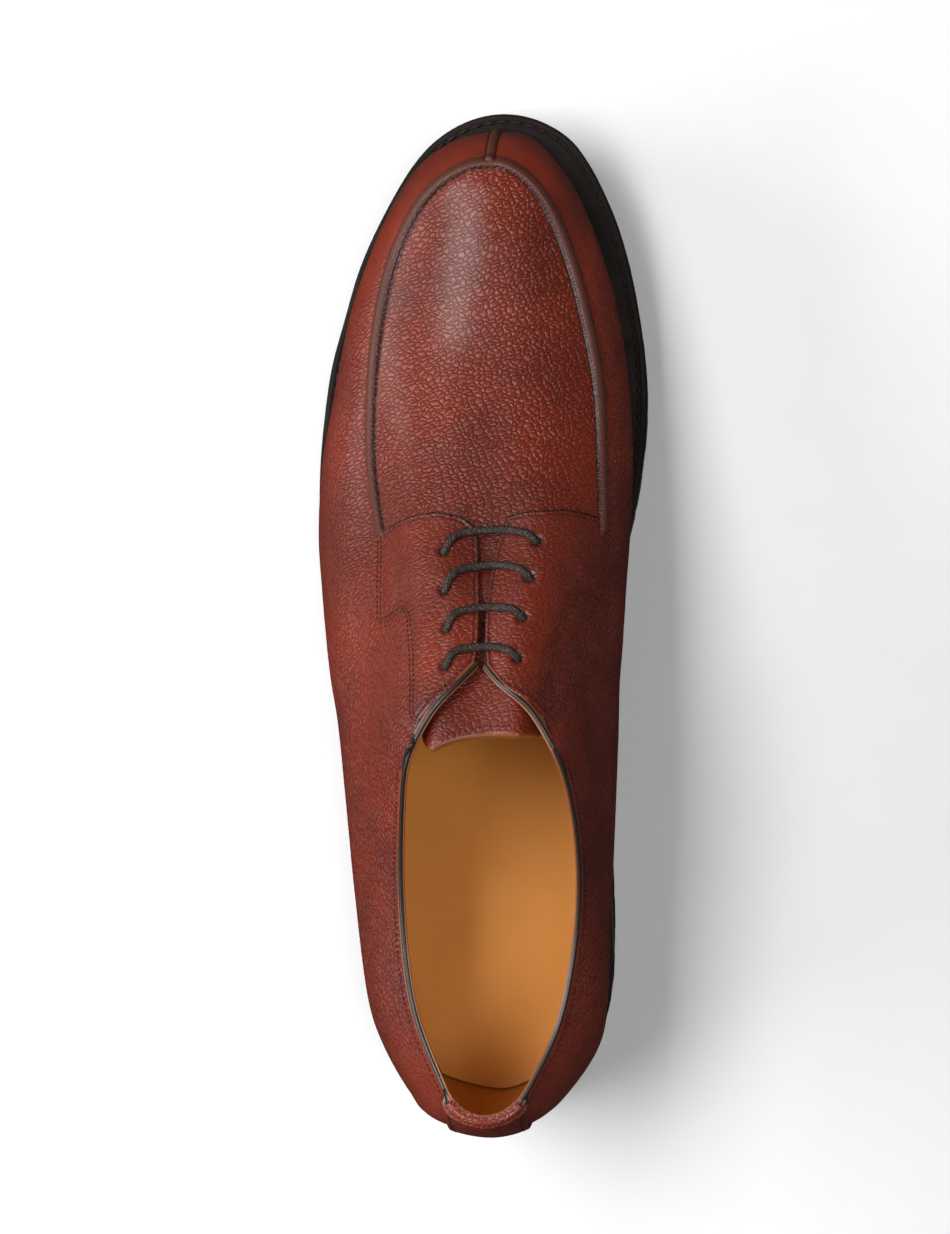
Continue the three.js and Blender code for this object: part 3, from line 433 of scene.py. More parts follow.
def make_piece(name, points, faces, material, replaces=(), attributes=None, sharp=40, merge=0.01):
    """Makes a piece from points in mm, lists of faces and values per point, and makes it ride along."""
    mesh = bpy.data.meshes.new(name)
    placed = (np.asarray(points).reshape(-1, 3) + ORIGIN) * MM
    corners = np.concatenate([np.asarray(block).ravel() for block in faces])
    sizes = np.concatenate([np.full(len(block), np.asarray(block).shape[1]) for block in faces])
    mesh.vertices.add(len(placed))
    mesh.vertices.foreach_set("co", placed.ravel())
    mesh.loops.add(len(corners))
    mesh.loops.foreach_set("vertex_index", corners.astype(np.int32))
    mesh.polygons.add(len(sizes))
    mesh.polygons.foreach_set("loop_start", (np.cumsum(sizes) - sizes).astype(np.int32))
    mesh.polygons.foreach_set("loop_total", sizes.astype(np.int32))
    for key, values in (attributes or {}).items():
        layer = mesh.attributes.new(key, "FLOAT", "POINT")
        layer.data.foreach_set("value", np.asarray(values, np.float32).ravel())
    mesh.update(calc_edges=True)
    mesh.validate()
    weld(mesh, merge * MM)
    mesh.set_sharp_from_angle(angle=math.radians(sharp))
    mesh.materials.append(material)
    piece = bpy.data.objects.new(name, mesh)
    bpy.context.scene.collection.objects.link(piece)
    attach(piece, "root")
    if replaces:
        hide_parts(*replaces)
    print(f"{name}: {len(mesh.vertices)} points, {sum(len(p.vertices) - 2 for p in mesh.polygons)} triangles")
    return piece


def weld(mesh, distance):
    """Merges points that lie within a distance of each other, and drops faces that close up."""
    work = bmesh.new()
    work.from_mesh(mesh)
    bmesh.ops.remove_doubles(work, verts=work.verts, dist=distance)
    work.to_mesh(mesh)
    work.free()
    mesh.shade_smooth()


def unit(vectors):
    """Vectors of length one in the same directions."""
    return vectors / np.maximum(np.linalg.norm(vectors, axis=-1, keepdims=True), 1e-9)

# %% [markdown]
# ## A place on the form under any point of the plan
# Facings, tongue, stitches and laces are drawn in the plan, as a pattern cutter draws them, and then laid
# on the last. Going from a plan point back to the place and row of the form is a search: start at the
# nearest of a coarse table of places, then follow the slopes for a few steps. All points are worked out
# together.
# %% Laying plan points on the form
SPINE_PLACES = np.linspace(SPINE_SECTION, LAST_SECTION, 200)
SPINE = guide_line("top", 1, SPINE_PLACES)


def single(side, place, row):
    """Points of the form for as many places as rows, one by one."""
    return form_points(side, place, row[:, None])[:, 0]


def search_form(side, target, axes, places, rows):
    """Place and row of the form whose two chosen coordinates match the target's, by Newton's method."""
    p, r = (a.ravel() for a in np.meshgrid(np.linspace(*places, 60), np.linspace(*rows, 30), indexing="ij"))
    table = single(side, p, r)[:, axes]
    nearest = np.concatenate([
        np.argmin(((part[:, None] - table[None]) ** 2).sum(axis=2), axis=1)
        for part in np.array_split(target, max(1, len(target) // 1500))
    ])
    place, row = p[nearest], r[nearest]
    step = 1e-3
    for _ in range(8):
        here = single(side, place, row)[:, axes]
        by_place = (single(side, place + step, row)[:, axes] - here) / step
        by_row = (single(side, place, row + step)[:, axes] - here) / step
        miss = target - here
        area = by_place[:, 0] * by_row[:, 1] - by_place[:, 1] * by_row[:, 0]
        area = np.where(np.abs(area) < 1e-6, 1e-6, area)
        move_place = (miss[:, 0] * by_row[:, 1] - miss[:, 1] * by_row[:, 0]) / area
        move_row = (by_place[:, 0] * miss[:, 1] - by_place[:, 1] * miss[:, 0]) / area
        place = np.clip(place + np.clip(move_place, -0.3, 0.3), places[0], places[1])
        row = np.clip(row + np.clip(move_row, -0.3, 0.3), 0, 5.3)
    return place, row


def form_normals(side, place, row):
    """Outward directions: the slope along the form crossed with the slope up it."""
    step = 1e-3
    here = single(side, place, row)
    forward = single(side, place + step, row) - here
    upward = single(side, place, row - step) - here
    return unit(np.cross(upward, forward) * side)


def lay_on_form(plan):
    """Points and outward directions of the form over plan points, on whichever side of the spine they lie."""
    flat = np.asarray(plan).reshape(-1, 2)
    points, normals = np.zeros((len(flat), 3)), np.zeros((len(flat), 3))
    spine_x = np.interp(flat[:, 1], SPINE[:, 1], SPINE[:, 0])
    for side in (-1, 1):
        mine = (flat[:, 0] > spine_x) == (side > 0)
        if not mine.any():
            continue
        place, row = search_form(side, flat[mine], (0, 1), (6.0, LAST_SECTION - 0.01), (2.4, 5.0))
        points[mine] = single(side, place, row)
        normals[mine] = form_normals(side, place, row)
    shape = np.asarray(plan).shape[:-1] + (3,)
    return points.reshape(shape), normals.reshape(shape)


probe, probe_normals = lay_on_form(np.array([[2.4, 150.0], [-15.0, 150.0], [20.0, 170.0]]))
print("form over three plan points, mm:", np.round(probe, 2).tolist(), np.round(probe_normals, 2).tolist())

# %% [markdown]
# ## Leather, thread, wax and rubber
# One group of nodes makes the pebbled grain: rounded cells between fine valleys, bent a little by noise
# so that no two pebbles are alike. A second makes slow cloudy changes of colour, as hand-rubbed cream
# leaves them. A third darkens what a piece's own values mark: dark edge paint, and painted shade in the
# grooves beside seams, round the lace holes and under the facings. Each material places them with its
# own values.
# %% Node helpers
def new_group(name, inputs, outputs):
    """A shader node group with number or colour sockets: (name, kind, value) in, (name, kind) out."""
    kinds = {"value": "NodeSocketFloat", "colour": "NodeSocketColor", "vector": "NodeSocketVector"}
    group = bpy.data.node_groups.new(name, "ShaderNodeTree")
    for label, kind, value in inputs:
        socket = group.interface.new_socket(label, in_out="INPUT", socket_type=kinds[kind])
        if value is not None:
            socket.default_value = value
    for label, kind in outputs:
        group.interface.new_socket(label, in_out="OUTPUT", socket_type=kinds[kind])
    return group, group.nodes.new("NodeGroupInput"), group.nodes.new("NodeGroupOutput")


def node(tree, kind, inputs=None, **settings):
    """Adds a node with its settings and with its inputs set or linked."""
    made = tree.nodes.new(kind)
    for key, value in settings.items():
        setattr(made, key, value)
    for key, value in (inputs or {}).items():
        if isinstance(value, bpy.types.NodeSocket):
            tree.links.new(value, made.inputs[key])
        else:
            made.inputs[key].default_value = value
    return made


def math_node(tree, operation, a, b=0.0, clamp=False):
    """One step of arithmetic on two numbers."""
    return node(tree, "ShaderNodeMath", {0: a, 1: b}, operation=operation, use_clamp=clamp).outputs[0]


def mix_colour(tree, factor, a, b, blend="MIX"):
    """Two colours blended by a factor."""
    mixed = node(tree, "ShaderNodeMix", {0: factor, 6: a, 7: b}, data_type="RGBA", blend_type=blend)
    return mixed.outputs[2]


def span(tree, value, low, high, to_low=0.0, to_high=1.0):
    """A number carried smoothly from one range to another."""
    made = node(tree, "ShaderNodeMapRange", {0: value, 1: low, 2: high, 3: to_low, 4: to_high},
                interpolation_type="SMOOTHSTEP")
    return made.outputs[0]

# %% [markdown]
# The grain is a pattern of domes, each falling off as a parabola to the valley round it. A flat pattern
# would smear on the flanks, so three are laid on from the three sides and blended by the way the surface
# faces.
# %% Grain group
PEBBLES_PER_METRE = 640.0
PEBBLE_BEND = 2.2                           # cells by which noise pushes the pattern
PEBBLE_DOME = 0.40                          # distance from a cell's edge at which its dome is level
grain, g_in, g_out = new_group(
    "pebbled_grain",
    [("Vector", "vector", None), ("Pebbles per metre", "value", PEBBLES_PER_METRE),
     ("Facing", "vector", None)],
    [("Height", "value"), ("Valley", "value")],
)
VECTOR = "ShaderNodeVectorMath"
scaled = node(grain, VECTOR, {0: g_in.outputs[0], "Scale": g_in.outputs[1]}, operation="SCALE")
bend = node(grain, "ShaderNodeTexNoise", {"Vector": scaled.outputs[0], "Scale": 0.35, "Detail": 2.0})
centred = node(grain, VECTOR, {0: bend.outputs["Color"], 1: (0.5, 0.5, 0.5)}, operation="SUBTRACT")
pushed = node(grain, VECTOR, {0: centred.outputs[0], "Scale": PEBBLE_BEND}, operation="SCALE")
bent = node(grain, VECTOR, {0: scaled.outputs[0], 1: pushed.outputs[0]}, operation="ADD")
split = node(grain, "ShaderNodeSeparateXYZ", {0: bent.outputs[0]})
facing = node(grain, "ShaderNodeSeparateXYZ", {0: g_in.outputs[2]})
PEBBLE_LONG, PEBBLE_SHORT = 0.78, 1.25      # pebbles are longer than wide: cells to a unit along and across
PEBBLE_SLANT = 0.45                         # radians by which their rows are turned


def flat_pebbles(first, second):
    """Domes in the plane of two turned coordinates: 1 less the square of how near the cell's edge is."""
    turned = [
        math_node(grain, "ADD", math_node(grain, "MULTIPLY", first, math.cos(angle)),
                  math_node(grain, "MULTIPLY", second, math.sin(angle)))
        for angle in (PEBBLE_SLANT, PEBBLE_SLANT + math.pi / 2)
    ]
    plane = node(grain, "ShaderNodeCombineXYZ", {0: math_node(grain, "MULTIPLY", turned[0], PEBBLE_LONG),
                                                 1: math_node(grain, "MULTIPLY", turned[1], PEBBLE_SHORT)})
    cell = node(grain, "ShaderNodeTexVoronoi", {"Vector": plane.outputs[0], "Scale": 1.0, "Randomness": 0.8},
                feature="DISTANCE_TO_EDGE", voronoi_dimensions="2D")
    from_edge = math_node(grain, "DIVIDE", cell.outputs["Distance"], PEBBLE_DOME)
    near = math_node(grain, "SUBTRACT", 1.0, from_edge, clamp=True)
    return math_node(grain, "SUBTRACT", 1.0, math_node(grain, "MULTIPLY", near, near))


patterns, shares = [], []
for first, second, across in ((0, 1, 2), (1, 2, 0), (0, 2, 1)):
    patterns.append(flat_pebbles(split.outputs[first], split.outputs[second]))
    shares.append(math_node(grain, "POWER", math_node(grain, "ABSOLUTE", facing.outputs[across]), 8.0))
total = math_node(grain, "ADD", math_node(grain, "ADD", shares[0], shares[1]), shares[2])
weighted = [math_node(grain, "MULTIPLY", pattern, share) for pattern, share in zip(patterns, shares)]
sum_of_all = math_node(grain, "ADD", math_node(grain, "ADD", weighted[0], weighted[1]), weighted[2])
dome = math_node(grain, "DIVIDE", sum_of_all, total)
fine = node(grain, "ShaderNodeTexNoise", {"Vector": scaled.outputs[0], "Scale": 4.0, "Detail": 3.0})
broad = node(grain, "ShaderNodeTexNoise", {"Vector": scaled.outputs[0], "Scale": 0.16, "Detail": 1.0})
swell = math_node(grain, "MULTIPLY", math_node(grain, "SUBTRACT", broad.outputs["Fac"], 0.5), 0.5)
rough = math_node(grain, "MULTIPLY", fine.outputs["Fac"], 0.05)
height = math_node(grain, "ADD", math_node(grain, "ADD", dome, rough), swell)
grain.links.new(height, g_out.inputs["Height"])
grain.links.new(math_node(grain, "SUBTRACT", 1.0, dome, clamp=True), g_out.inputs["Valley"])

# %% [markdown]
# Cream rubbed in by hand leaves slow clouds of lighter and deeper colour. Dark edge paint and painted
# shade in grooves, round the lace holes and under the facings follow values that each piece carries on
# its points, so they sit exactly where the shape has its edges, seams and holes.
# %% Cloud group, and the group for edge paint and painted shade
clouds, c_in, c_out = new_group(
    "rubbed_cream",
    [("Vector", "vector", None), ("Clouds per metre", "value", 24.0), ("Light", "colour", None),
     ("Deep", "colour", None)],
    [("Color", "colour"), ("Cloud", "value")],
)
soft_noise = node(clouds, "ShaderNodeTexNoise",
                  {"Vector": c_in.outputs[0], "Scale": c_in.outputs[1], "Detail": 4.0, "Roughness": 0.6})
cloud = span(clouds, soft_noise.outputs["Fac"], 0.32, 0.68)
clouds.links.new(mix_colour(clouds, cloud, c_in.outputs[3], c_in.outputs[2]), c_out.inputs[0])
clouds.links.new(cloud, c_out.inputs[1])

edge_paint_and_shade_group, b_in, b_out = new_group(
    "edge_paint_and_painted_shade",
    [("Color", "colour", None), ("Edge paint and shade colour", "colour", None), ("Groove shade colour", "colour", None)],
    [("Color", "colour"), ("Edge paint and shade", "value"), ("Seam", "value")],
)
edge_paint_and_shade_value = node(edge_paint_and_shade_group, "ShaderNodeAttribute", attribute_name="edge").outputs["Fac"]
groove_shade_value = node(edge_paint_and_shade_group, "ShaderNodeAttribute", attribute_name="seam").outputs["Fac"]
# Groove values lay painted shade; edge values lay edge paint, on some pieces painted shade as well.
with_groove_shade = mix_colour(edge_paint_and_shade_group, groove_shade_value, b_in.outputs[0], b_in.outputs[2])
with_edge_paint_and_shade = mix_colour(edge_paint_and_shade_group, span(edge_paint_and_shade_group, edge_paint_and_shade_value, 0.25, 0.75), with_groove_shade, b_in.outputs[1])
edge_paint_and_shade_group.links.new(with_edge_paint_and_shade, b_out.inputs[0])
edge_paint_and_shade_group.links.new(edge_paint_and_shade_value, b_out.inputs[1])
edge_paint_and_shade_group.links.new(groove_shade_value, b_out.inputs[2])
print("groups:", [group.name for group in bpy.data.node_groups])

# %% [markdown]
# Every finish starts as the same plain material. Leather adds grain, cream, beads and raw edges to it;
# the smooth finishes only add cream and a fine bump.
# %% Materials
def place_group(tree, group, inputs):
    """Puts a shader group into a material with its inputs set or linked."""
    return node(tree, "ShaderNodeGroup", inputs, node_tree=group)


def new_material(name, roughness, coat=0.0, coat_roughness=0.2, specular=0.5):
    """A material with its shader, and the object's own coordinates for its patterns."""
    material = bpy.data.materials.new(name)
    material.use_nodes = True
    tree = material.node_tree
    shader = tree.nodes["Principled BSDF"]
    shader.inputs["Roughness"].default_value = roughness
    shader.inputs["Coat Weight"].default_value = coat
    shader.inputs["Coat Roughness"].default_value = coat_roughness
    shader.inputs["Specular IOR Level"].default_value = specular
    where = tree.nodes.new("ShaderNodeTexCoord").outputs["Object"]
    return material, tree, shader, where


def leather(name, light, deep, valley, edge, seam, rolled, raw, depth=0.00032, roughness=0.36):
    """Pebbled leather: cloudy colour, darker valleys, brown beads, edge paint, painted shade, grain bump."""
    coat, bead_coat = 0.4, 0.12
    material, tree, shader, where = new_material(name, roughness, coat, 0.27, 0.4)
    facing = node(tree, "ShaderNodeTexCoord").outputs["Normal"]
    grains = place_group(tree, grain, {"Vector": where, "Facing": facing})
    cream = place_group(tree, clouds, {"Vector": where, "Light": light, "Deep": deep})
    grain_depth = node(tree, "ShaderNodeAttribute", attribute_name="grain").outputs["Fac"]
    bead_value = node(tree, "ShaderNodeAttribute", attribute_name="bead").outputs["Fac"]
    raw_value = node(tree, "ShaderNodeAttribute", attribute_name="raw").outputs["Fac"]
    valley_amount = math_node(tree, "MULTIPLY", grains.outputs["Valley"],
                              math_node(tree, "MULTIPLY", grain_depth, 0.5))
    valleys = mix_colour(tree, valley_amount, cream.outputs["Color"], valley)
    with_bead = mix_colour(tree, math_node(tree, "MULTIPLY", bead_value, 0.8), valleys, rolled)
    marked = place_group(tree, edge_paint_and_shade_group, {"Color": with_bead, "Edge paint and shade colour": edge, "Groove shade colour": seam})
    finished = mix_colour(tree, raw_value, marked.outputs["Color"], raw)
    tree.links.new(finished, shader.inputs["Base Color"])
    dry = math_node(tree, "MULTIPLY", grains.outputs["Valley"], 0.18)
    rough_value = math_node(tree, "ADD", span(tree, cream.outputs["Cloud"], 0, 1, roughness + 0.05,
                                              roughness - 0.05), dry)
    dull = math_node(tree, "MULTIPLY", bead_value, 0.25)
    tree.links.new(math_node(tree, "ADD", rough_value, dull), shader.inputs["Roughness"])
    tree.links.new(span(tree, bead_value, 0, 1, coat, bead_coat), shader.inputs["Coat Weight"])
    height = math_node(tree, "MULTIPLY", grains.outputs["Height"], grain_depth)
    bump = node(tree, "ShaderNodeBump", {"Height": height, "Distance": depth, "Strength": 1.0})
    tree.links.new(bump.outputs["Normal"], shader.inputs["Normal"])
    return material


def plain(name, light, deep, roughness, grain_size, depth, coat=0.0, clouds_size=40.0, specular=0.5):
    """A smooth finish with cloudy colour and a fine bump: lining, edge paint, thread and rubber."""
    material, tree, shader, where = new_material(name, roughness, coat, 0.25, specular)
    cream = place_group(tree, clouds, {"Vector": where, "Clouds per metre": clouds_size, "Light": light,
                                       "Deep": deep})
    # The deep tone also serves as painted shade: in the welt's stitch groove, and on the lining under the
    # facings.
    marked = place_group(tree, edge_paint_and_shade_group, {"Color": cream.outputs["Color"], "Edge paint and shade colour": deep,
                                         "Groove shade colour": deep})
    tree.links.new(marked.outputs["Color"], shader.inputs["Base Color"])
    tree.links.new(span(tree, cream.outputs["Cloud"], 0, 1, roughness + 0.06, roughness - 0.05),
                   shader.inputs["Roughness"])
    fine_noise = node(tree, "ShaderNodeTexNoise", {"Vector": where, "Scale": grain_size, "Detail": 4.0})
    bump = node(tree, "ShaderNodeBump", {"Height": fine_noise.outputs["Fac"], "Distance": depth})
    tree.links.new(bump.outputs["Normal"], shader.inputs["Normal"])
    return material


# %% [markdown]
# The colours are read from the picture's evenly lit places, then made lighter or deeper until the lit
# shoe matched. Each smooth finish has a light and a deep tone, a roughness, and a grain size for its
# bump.
# %% The shoe's own finishes
# edge: dark edge paint, on the facings also painted shade; seam: painted shade in the grooves beside seams.
CHESTNUT = leather("chestnut_leather", light=(0.225, 0.026, 0.009, 1), deep=(0.125, 0.014, 0.006, 1),
                   valley=(0.060, 0.010, 0.006, 1), edge=(0.022, 0.015, 0.012, 1),
                   seam=(0.025, 0.008, 0.006, 1), rolled=(0.050, 0.021, 0.012, 1),
                   raw=(0.25, 0.085, 0.026, 1))
TAN_LINING = plain("tan_lining", (0.54, 0.215, 0.038, 1), (0.50, 0.195, 0.034, 1), 0.65, 900.0, 0.00006,
                   specular=0.3)
INSOLE_TAN = plain("insole_tan", (0.72, 0.30, 0.052, 1), (0.66, 0.27, 0.046, 1), 0.6, 900.0, 0.00006,
                   clouds_size=14.0, specular=0.25)
SOLE_EDGE = plain("sole_edge", (0.017, 0.012, 0.010, 1), (0.010, 0.008, 0.007, 1), 0.62, 400.0, 0.00008,
                  specular=0.12)
EDGE_LINE = plain("edge_line", (0.010, 0.009, 0.008, 1), (0.006, 0.006, 0.006, 1), 0.5, 400.0, 0.00008,
                  specular=0.3)
RUBBER = plain("tread_rubber", (0.018, 0.018, 0.017, 1), (0.010, 0.010, 0.010, 1), 0.55, 1500.0, 0.00004,
               specular=0.35)
THREAD = plain("dark_thread", (0.034, 0.013, 0.009, 1), (0.022, 0.009, 0.007, 1), 0.75, 4000.0, 0.0001,
               specular=0.25)
BROWN_THREAD = plain("brown_thread", (0.075, 0.019, 0.010, 1), (0.050, 0.013, 0.008, 1), 0.7, 4000.0, 0.0001,
                     specular=0.25)
FLOOR_PAPER = plain("floor_paper", (0.93, 0.93, 0.93, 1), (0.92, 0.92, 0.92, 1), 0.9, 50.0, 0.0)
print("finishes:", [material.name for material in bpy.data.materials])

# %% [markdown]
# The lace is braided and waxed. Its strands follow the cord wherever it bends, so they are drawn by
# values that run along the cord and round it instead of by the object's coordinates.
# %% Waxed braid
def braided(name, light, deep, wax_and_glint_colour):
    """A round waxed braid: two sets of strands that cross, drawn by the values "run" (mm along the cord) and
    "turn" (times round it), lighter on their crests and deeper between them as painted shade, with pale
    specks on the crests that are wax and painted glints."""
    material, tree, shader, where = new_material(name, 0.5, 0.0, 0.3, 0.35)
    run = node(tree, "ShaderNodeAttribute", attribute_name="run").outputs["Fac"]
    turn = node(tree, "ShaderNodeAttribute", attribute_name="turn").outputs["Fac"]
    strands = []
    for way in (4.0, -4.0):
        phase = math_node(tree, "ADD", math_node(tree, "MULTIPLY", run, 0.85),
                          math_node(tree, "MULTIPLY", turn, way))
        strands.append(math_node(tree, "SINE", math_node(tree, "MULTIPLY", phase, 2 * math.pi)))
    crest = math_node(tree, "MAXIMUM", *strands)
    specks = node(tree, "ShaderNodeTexNoise", {"Vector": where, "Scale": 1800.0, "Detail": 2.0})
    # Pale specks on the crests: wax, and painted glints
    wax_specks_and_glints = math_node(tree, "MULTIPLY", span(tree, crest, 0.3, 1.0),
                      span(tree, specks.outputs["Fac"], 0.52, 0.66))
    # Strands lighter on their crests and deeper between them: painted shade
    strand_shade = mix_colour(tree, span(tree, crest, -0.2, 0.9), deep, light)
    tree.links.new(mix_colour(tree, wax_specks_and_glints, strand_shade, wax_and_glint_colour), shader.inputs["Base Color"])
    bump = node(tree, "ShaderNodeBump", {"Height": crest, "Distance": 0.00012, "Strength": 0.8})
    tree.links.new(bump.outputs["Normal"], shader.inputs["Normal"])
    return material


# Colours of the strands' crests, of the painted shade between them, and of the wax specks and glints
WAXED_LACE = braided("waxed_lace", (0.034, 0.021, 0.016, 1), (0.010, 0.007, 0.006, 1), (0.16, 0.115, 0.09, 1))

# %% [markdown]
# The floor is one large sheet a hair's breadth under the sole. The pair was cut out against white, so no
# floor shows in its polish.
# %% Floor
FLOOR_REACH, FLOOR_DROP = 6.0, 0.2 * MM
floor_corners = [(FLOOR_REACH * x, FLOOR_REACH * y, -FLOOR_DROP)
                 for x, y in ((-1, -1), (1, -1), (1, 1), (-1, 1))]
floor_mesh = bpy.data.meshes.new("floor")
floor_mesh.from_pydata(floor_corners, [], [(0, 1, 2, 3)])
floor_mesh.materials.append(FLOOR_PAPER)
floor = bpy.data.objects.new("floor", floor_mesh)
bpy.context.scene.collection.objects.link(floor)
floor.visible_glossy = False

# %% [markdown]
# ## The upper
# The upper is one skin of pebbled leather over a tan lining. Columns of points run round the shoe from
# the heel along the outer side to the toe and back along the inner side; rows climb from the feather edge
# to the top line. Where the facings lie on it, the skin ends at the throat's opening. The apron seam is a
# raised bead with a sunk line of stitches inside it, and the seam up the toe is a smaller bead.
# %% Columns and rows of the upper
THROAT = np.array([
    # place along the sole, mm from the throat's centre line to its outer and inner edge
    (0.350, -21.0, 23.4), (0.379, -19.6, 21.4), (0.395, -18.1, 19.6), (0.408, -17.0, 18.0),
    (0.430, -15.0, 14.6), (0.470, -14.0, 13.6), (0.500, -11.0, 11.0), (0.525, -8.0, 8.5),
    (0.538, -4.5, 5.5), (0.543, -1.0, 3.5), (0.545, 1.3, 1.3),
])
RIDGE_REACH = 4.0                       # mm on both sides of the seam that get the closest rows
TOE_SEAM_LEAN = 0.35                    # share of the toe's own sideways lean that its seam follows
RIM_WIDTH = 1.7                         # mm of painted edge and lining edge beyond the skin's own edge


def side_columns(count, toe_count):
    """Places from the heel to the toe, closer together by the seam up the toe."""
    return np.concatenate([np.linspace(0, 18.6, count, endpoint=False), np.linspace(18.6, 19, toe_count)])


def opening_row(side, place):
    """Row at which a column meets the edge of the throat's opening, or 5 where it doesn't."""
    rows = np.linspace(3.3, 5, 120)
    points = form_points(side, place, np.broadcast_to(rows, (len(place), len(rows))))
    along_y = points[..., 1] / SOLE_LENGTH
    edge = np.interp(along_y, THROAT[:, 0], THROAT[:, 1 if side < 0 else 2]) + THROAT_CENTRE
    inside = (points[..., 0] - edge) * side < 0
    inside &= (along_y < THROAT[-1, 0]) & (along_y > THROAT[0, 0])
    first = np.argmax(inside, axis=1)
    section = section_points(side, place)
    below_band = 5.0 - RIM_WIDTH / np.linalg.norm(section[:, 6] - section[:, 5], axis=1)
    free = np.where(place < SPINE_SECTION - 0.6, below_band, 5.0)
    return np.where(inside.any(axis=1), np.minimum(rows[np.maximum(first - 1, 0)], free), free)


def wall_rows(side, place, below, near, above, top):
    """Rows for each column: even up to the seam, close round it, even from there to the top row."""
    points = section_points(side, place)
    pace = np.linalg.norm(points[:, 5] - points[:, 3], axis=1) / 2
    reach = np.clip(RIDGE_REACH / pace, 0.05, 0.45)
    reach = np.minimum(reach, (top - 3) * 0.8)
    low = (3 - reach)[:, None] * np.linspace(0, 1, below, endpoint=False)
    middle = 3 + reach[:, None] * np.linspace(-1, 1, near, endpoint=False)
    high = (3 + reach)[:, None] + (top - 3 - reach)[:, None] * np.linspace(0, 1, above)
    return np.concatenate([low, middle, high], axis=1), pace


def upper_grid(count, toe_count, below, near, above):
    """The form as one closed grid of columns, with each point's distance to the two seams, its place, row
    and side."""
    place = side_columns(count, toe_count)
    parts = []
    for side in (-1, 1):
        top = opening_row(side, place)
        rows, pace = wall_rows(side, place, below, near, above, top)
        points = form_points(side, place, rows)
        seam = (rows - 3) * pace[:, None]
        tip, low = points[-1, below + near // 2], points[-1, 0]
        lean = TOE_SEAM_LEAN * (low[0] - tip[0]) / (low[1] - tip[1])
        toe = points[..., 0] - tip[0] - lean * (points[..., 1] - tip[1])
        where = np.broadcast_to(place[:, None], rows.shape)
        parts.append([points, seam, toe, where, rows, np.full(rows.shape, side)])
    outer, inner = parts
    return [np.concatenate([a, b[::-1][1:-1]], axis=0) for a, b in zip(outer, inner)]


def grid_normals(points):
    """Outward directions of a grid whose columns close round the shoe."""
    around = np.roll(points, -1, axis=0) - np.roll(points, 1, axis=0)
    up = np.gradient(points, axis=1)
    return unit(np.cross(up, around))

# %% [markdown]
# The seams and the soft creases stand out from the form as heights along its own direction: a bump in the
# material would not show in the outline. The same values say where painted shade darkens the grooves.
# %% Relief of the skin
CREASES = [
    # side, place round the shoe, row, length in places, width in rows, height in mm (below zero a trough)
    (-1, 10.6, 2.0, 0.9, 0.5, -0.5), (-1, 12.0, 1.7, 0.8, 0.45, 0.3), (1, 10.4, 1.9, 0.9, 0.5, -0.45),
    (1, 11.6, 2.2, 0.7, 0.4, -0.3), (1, 8.0, 1.7, 0.8, 0.6, -0.35),
    (-1, 13.0, 3.9, 0.5, 0.35, -0.35), (1, 12.8, 4.1, 0.5, 0.4, -0.3), (-1, 14.4, 4.4, 0.6, 0.4, 0.25),
    (1, 14.8, 4.3, 0.6, 0.4, 0.2), (-1, 5.0, 2.6, 1.0, 0.5, -0.3), (1, 4.8, 2.7, 1.0, 0.5, -0.3),
]


def bead(distance, half_width, height):
    """A rounded bead across a seam: height times e to the minus cube of the distance."""
    return height * np.exp(-np.abs(distance / half_width) ** 3)


def dip(distance, centre, half_width, depth):
    """A rounded groove beside a seam."""
    return -depth * np.exp(-((distance - centre) / half_width) ** 2)


def skin_relief(seam, toe, where, rows, side):
    """Height over the form, painted shade in the seams' grooves, place of the beads and depth of the grain:
    sums of bells across the distances to the seams."""
    front = smooth(where, 11.02, 11.12)
    height = front * (bead(seam + 0.3, 1.75, SEAM_HEIGHT) + dip(seam, 1.75, 0.3, 0.45))
    low = smooth(-seam, -0.2, 1.0) * (where > 18)
    height += low * (bead(toe, 1.25, 0.9) + dip(np.abs(toe), 1.5, 0.3, 0.35))
    for crease_side, place, row, length, width, lift in CREASES:
        near = np.exp(-((where - place) / length) ** 2 - ((rows - row) / width) ** 2)
        height += lift * near * (side == crease_side)
    # Painted shade in the groove inside the apron's bead and beside the toe seam
    painted_groove_shade = front * np.exp(-((seam - 1.58) / 0.42) ** 2)
    painted_groove_shade += low * 0.8 * np.exp(-((np.abs(toe) - 1.5) / 0.3) ** 2)
    rolled = np.maximum(front * bead(seam + 0.45, 2.0, 1.0), low * bead(toe, 1.4, 1.0))
    rolled = np.maximum(rolled, 0.7 * smooth(where, 14.5, 18.0) * smooth(-rows, -2.4, -0.3))
    stretched = smooth(where, 13.0, 16.0) * smooth(-seam, -1.0, 3.0)
    heel = (1 - smooth(where, 1.5, 4.0)) * 0.5
    depth = (1 - 0.85 * stretched) * (1 - heel) * (1 - 0.9 * rolled)
    depth *= 1 - 0.35 * smooth(2.4 - rows, 0.0, 1.0)
    return height, np.clip(painted_groove_shade, 0, 1), np.clip(rolled, 0, 1), depth


GRID = (310, 22, 44, 34, 34)            # columns a side, by the toe, rows below, round and above the seam
points, seam, toe, where, rows, side = upper_grid(*GRID)
normals = grid_normals(points)
# At the spine the two sides meet: both take the same direction, halfway between their own
mirror = -np.arange(len(points)) % len(points)
on_spine = (rows[:, -1] > 4.999) & (where[:, -1] >= SPINE_SECTION)
normals[on_spine, -1] = unit(normals[:, -1] + normals[mirror, -1])[on_spine]
relief, seam_shade, bead_mark, grain_depth = skin_relief(seam, toe, where, rows, side)
SKIN, LINED = 0.9, 1.5                   # mm: the skin's thickness, and the skin's with its lining
outer_skin = points + normals * relief[..., None]
columns, row_count = points.shape[:2]
print("upper grid:", columns, "columns,", row_count, "rows")

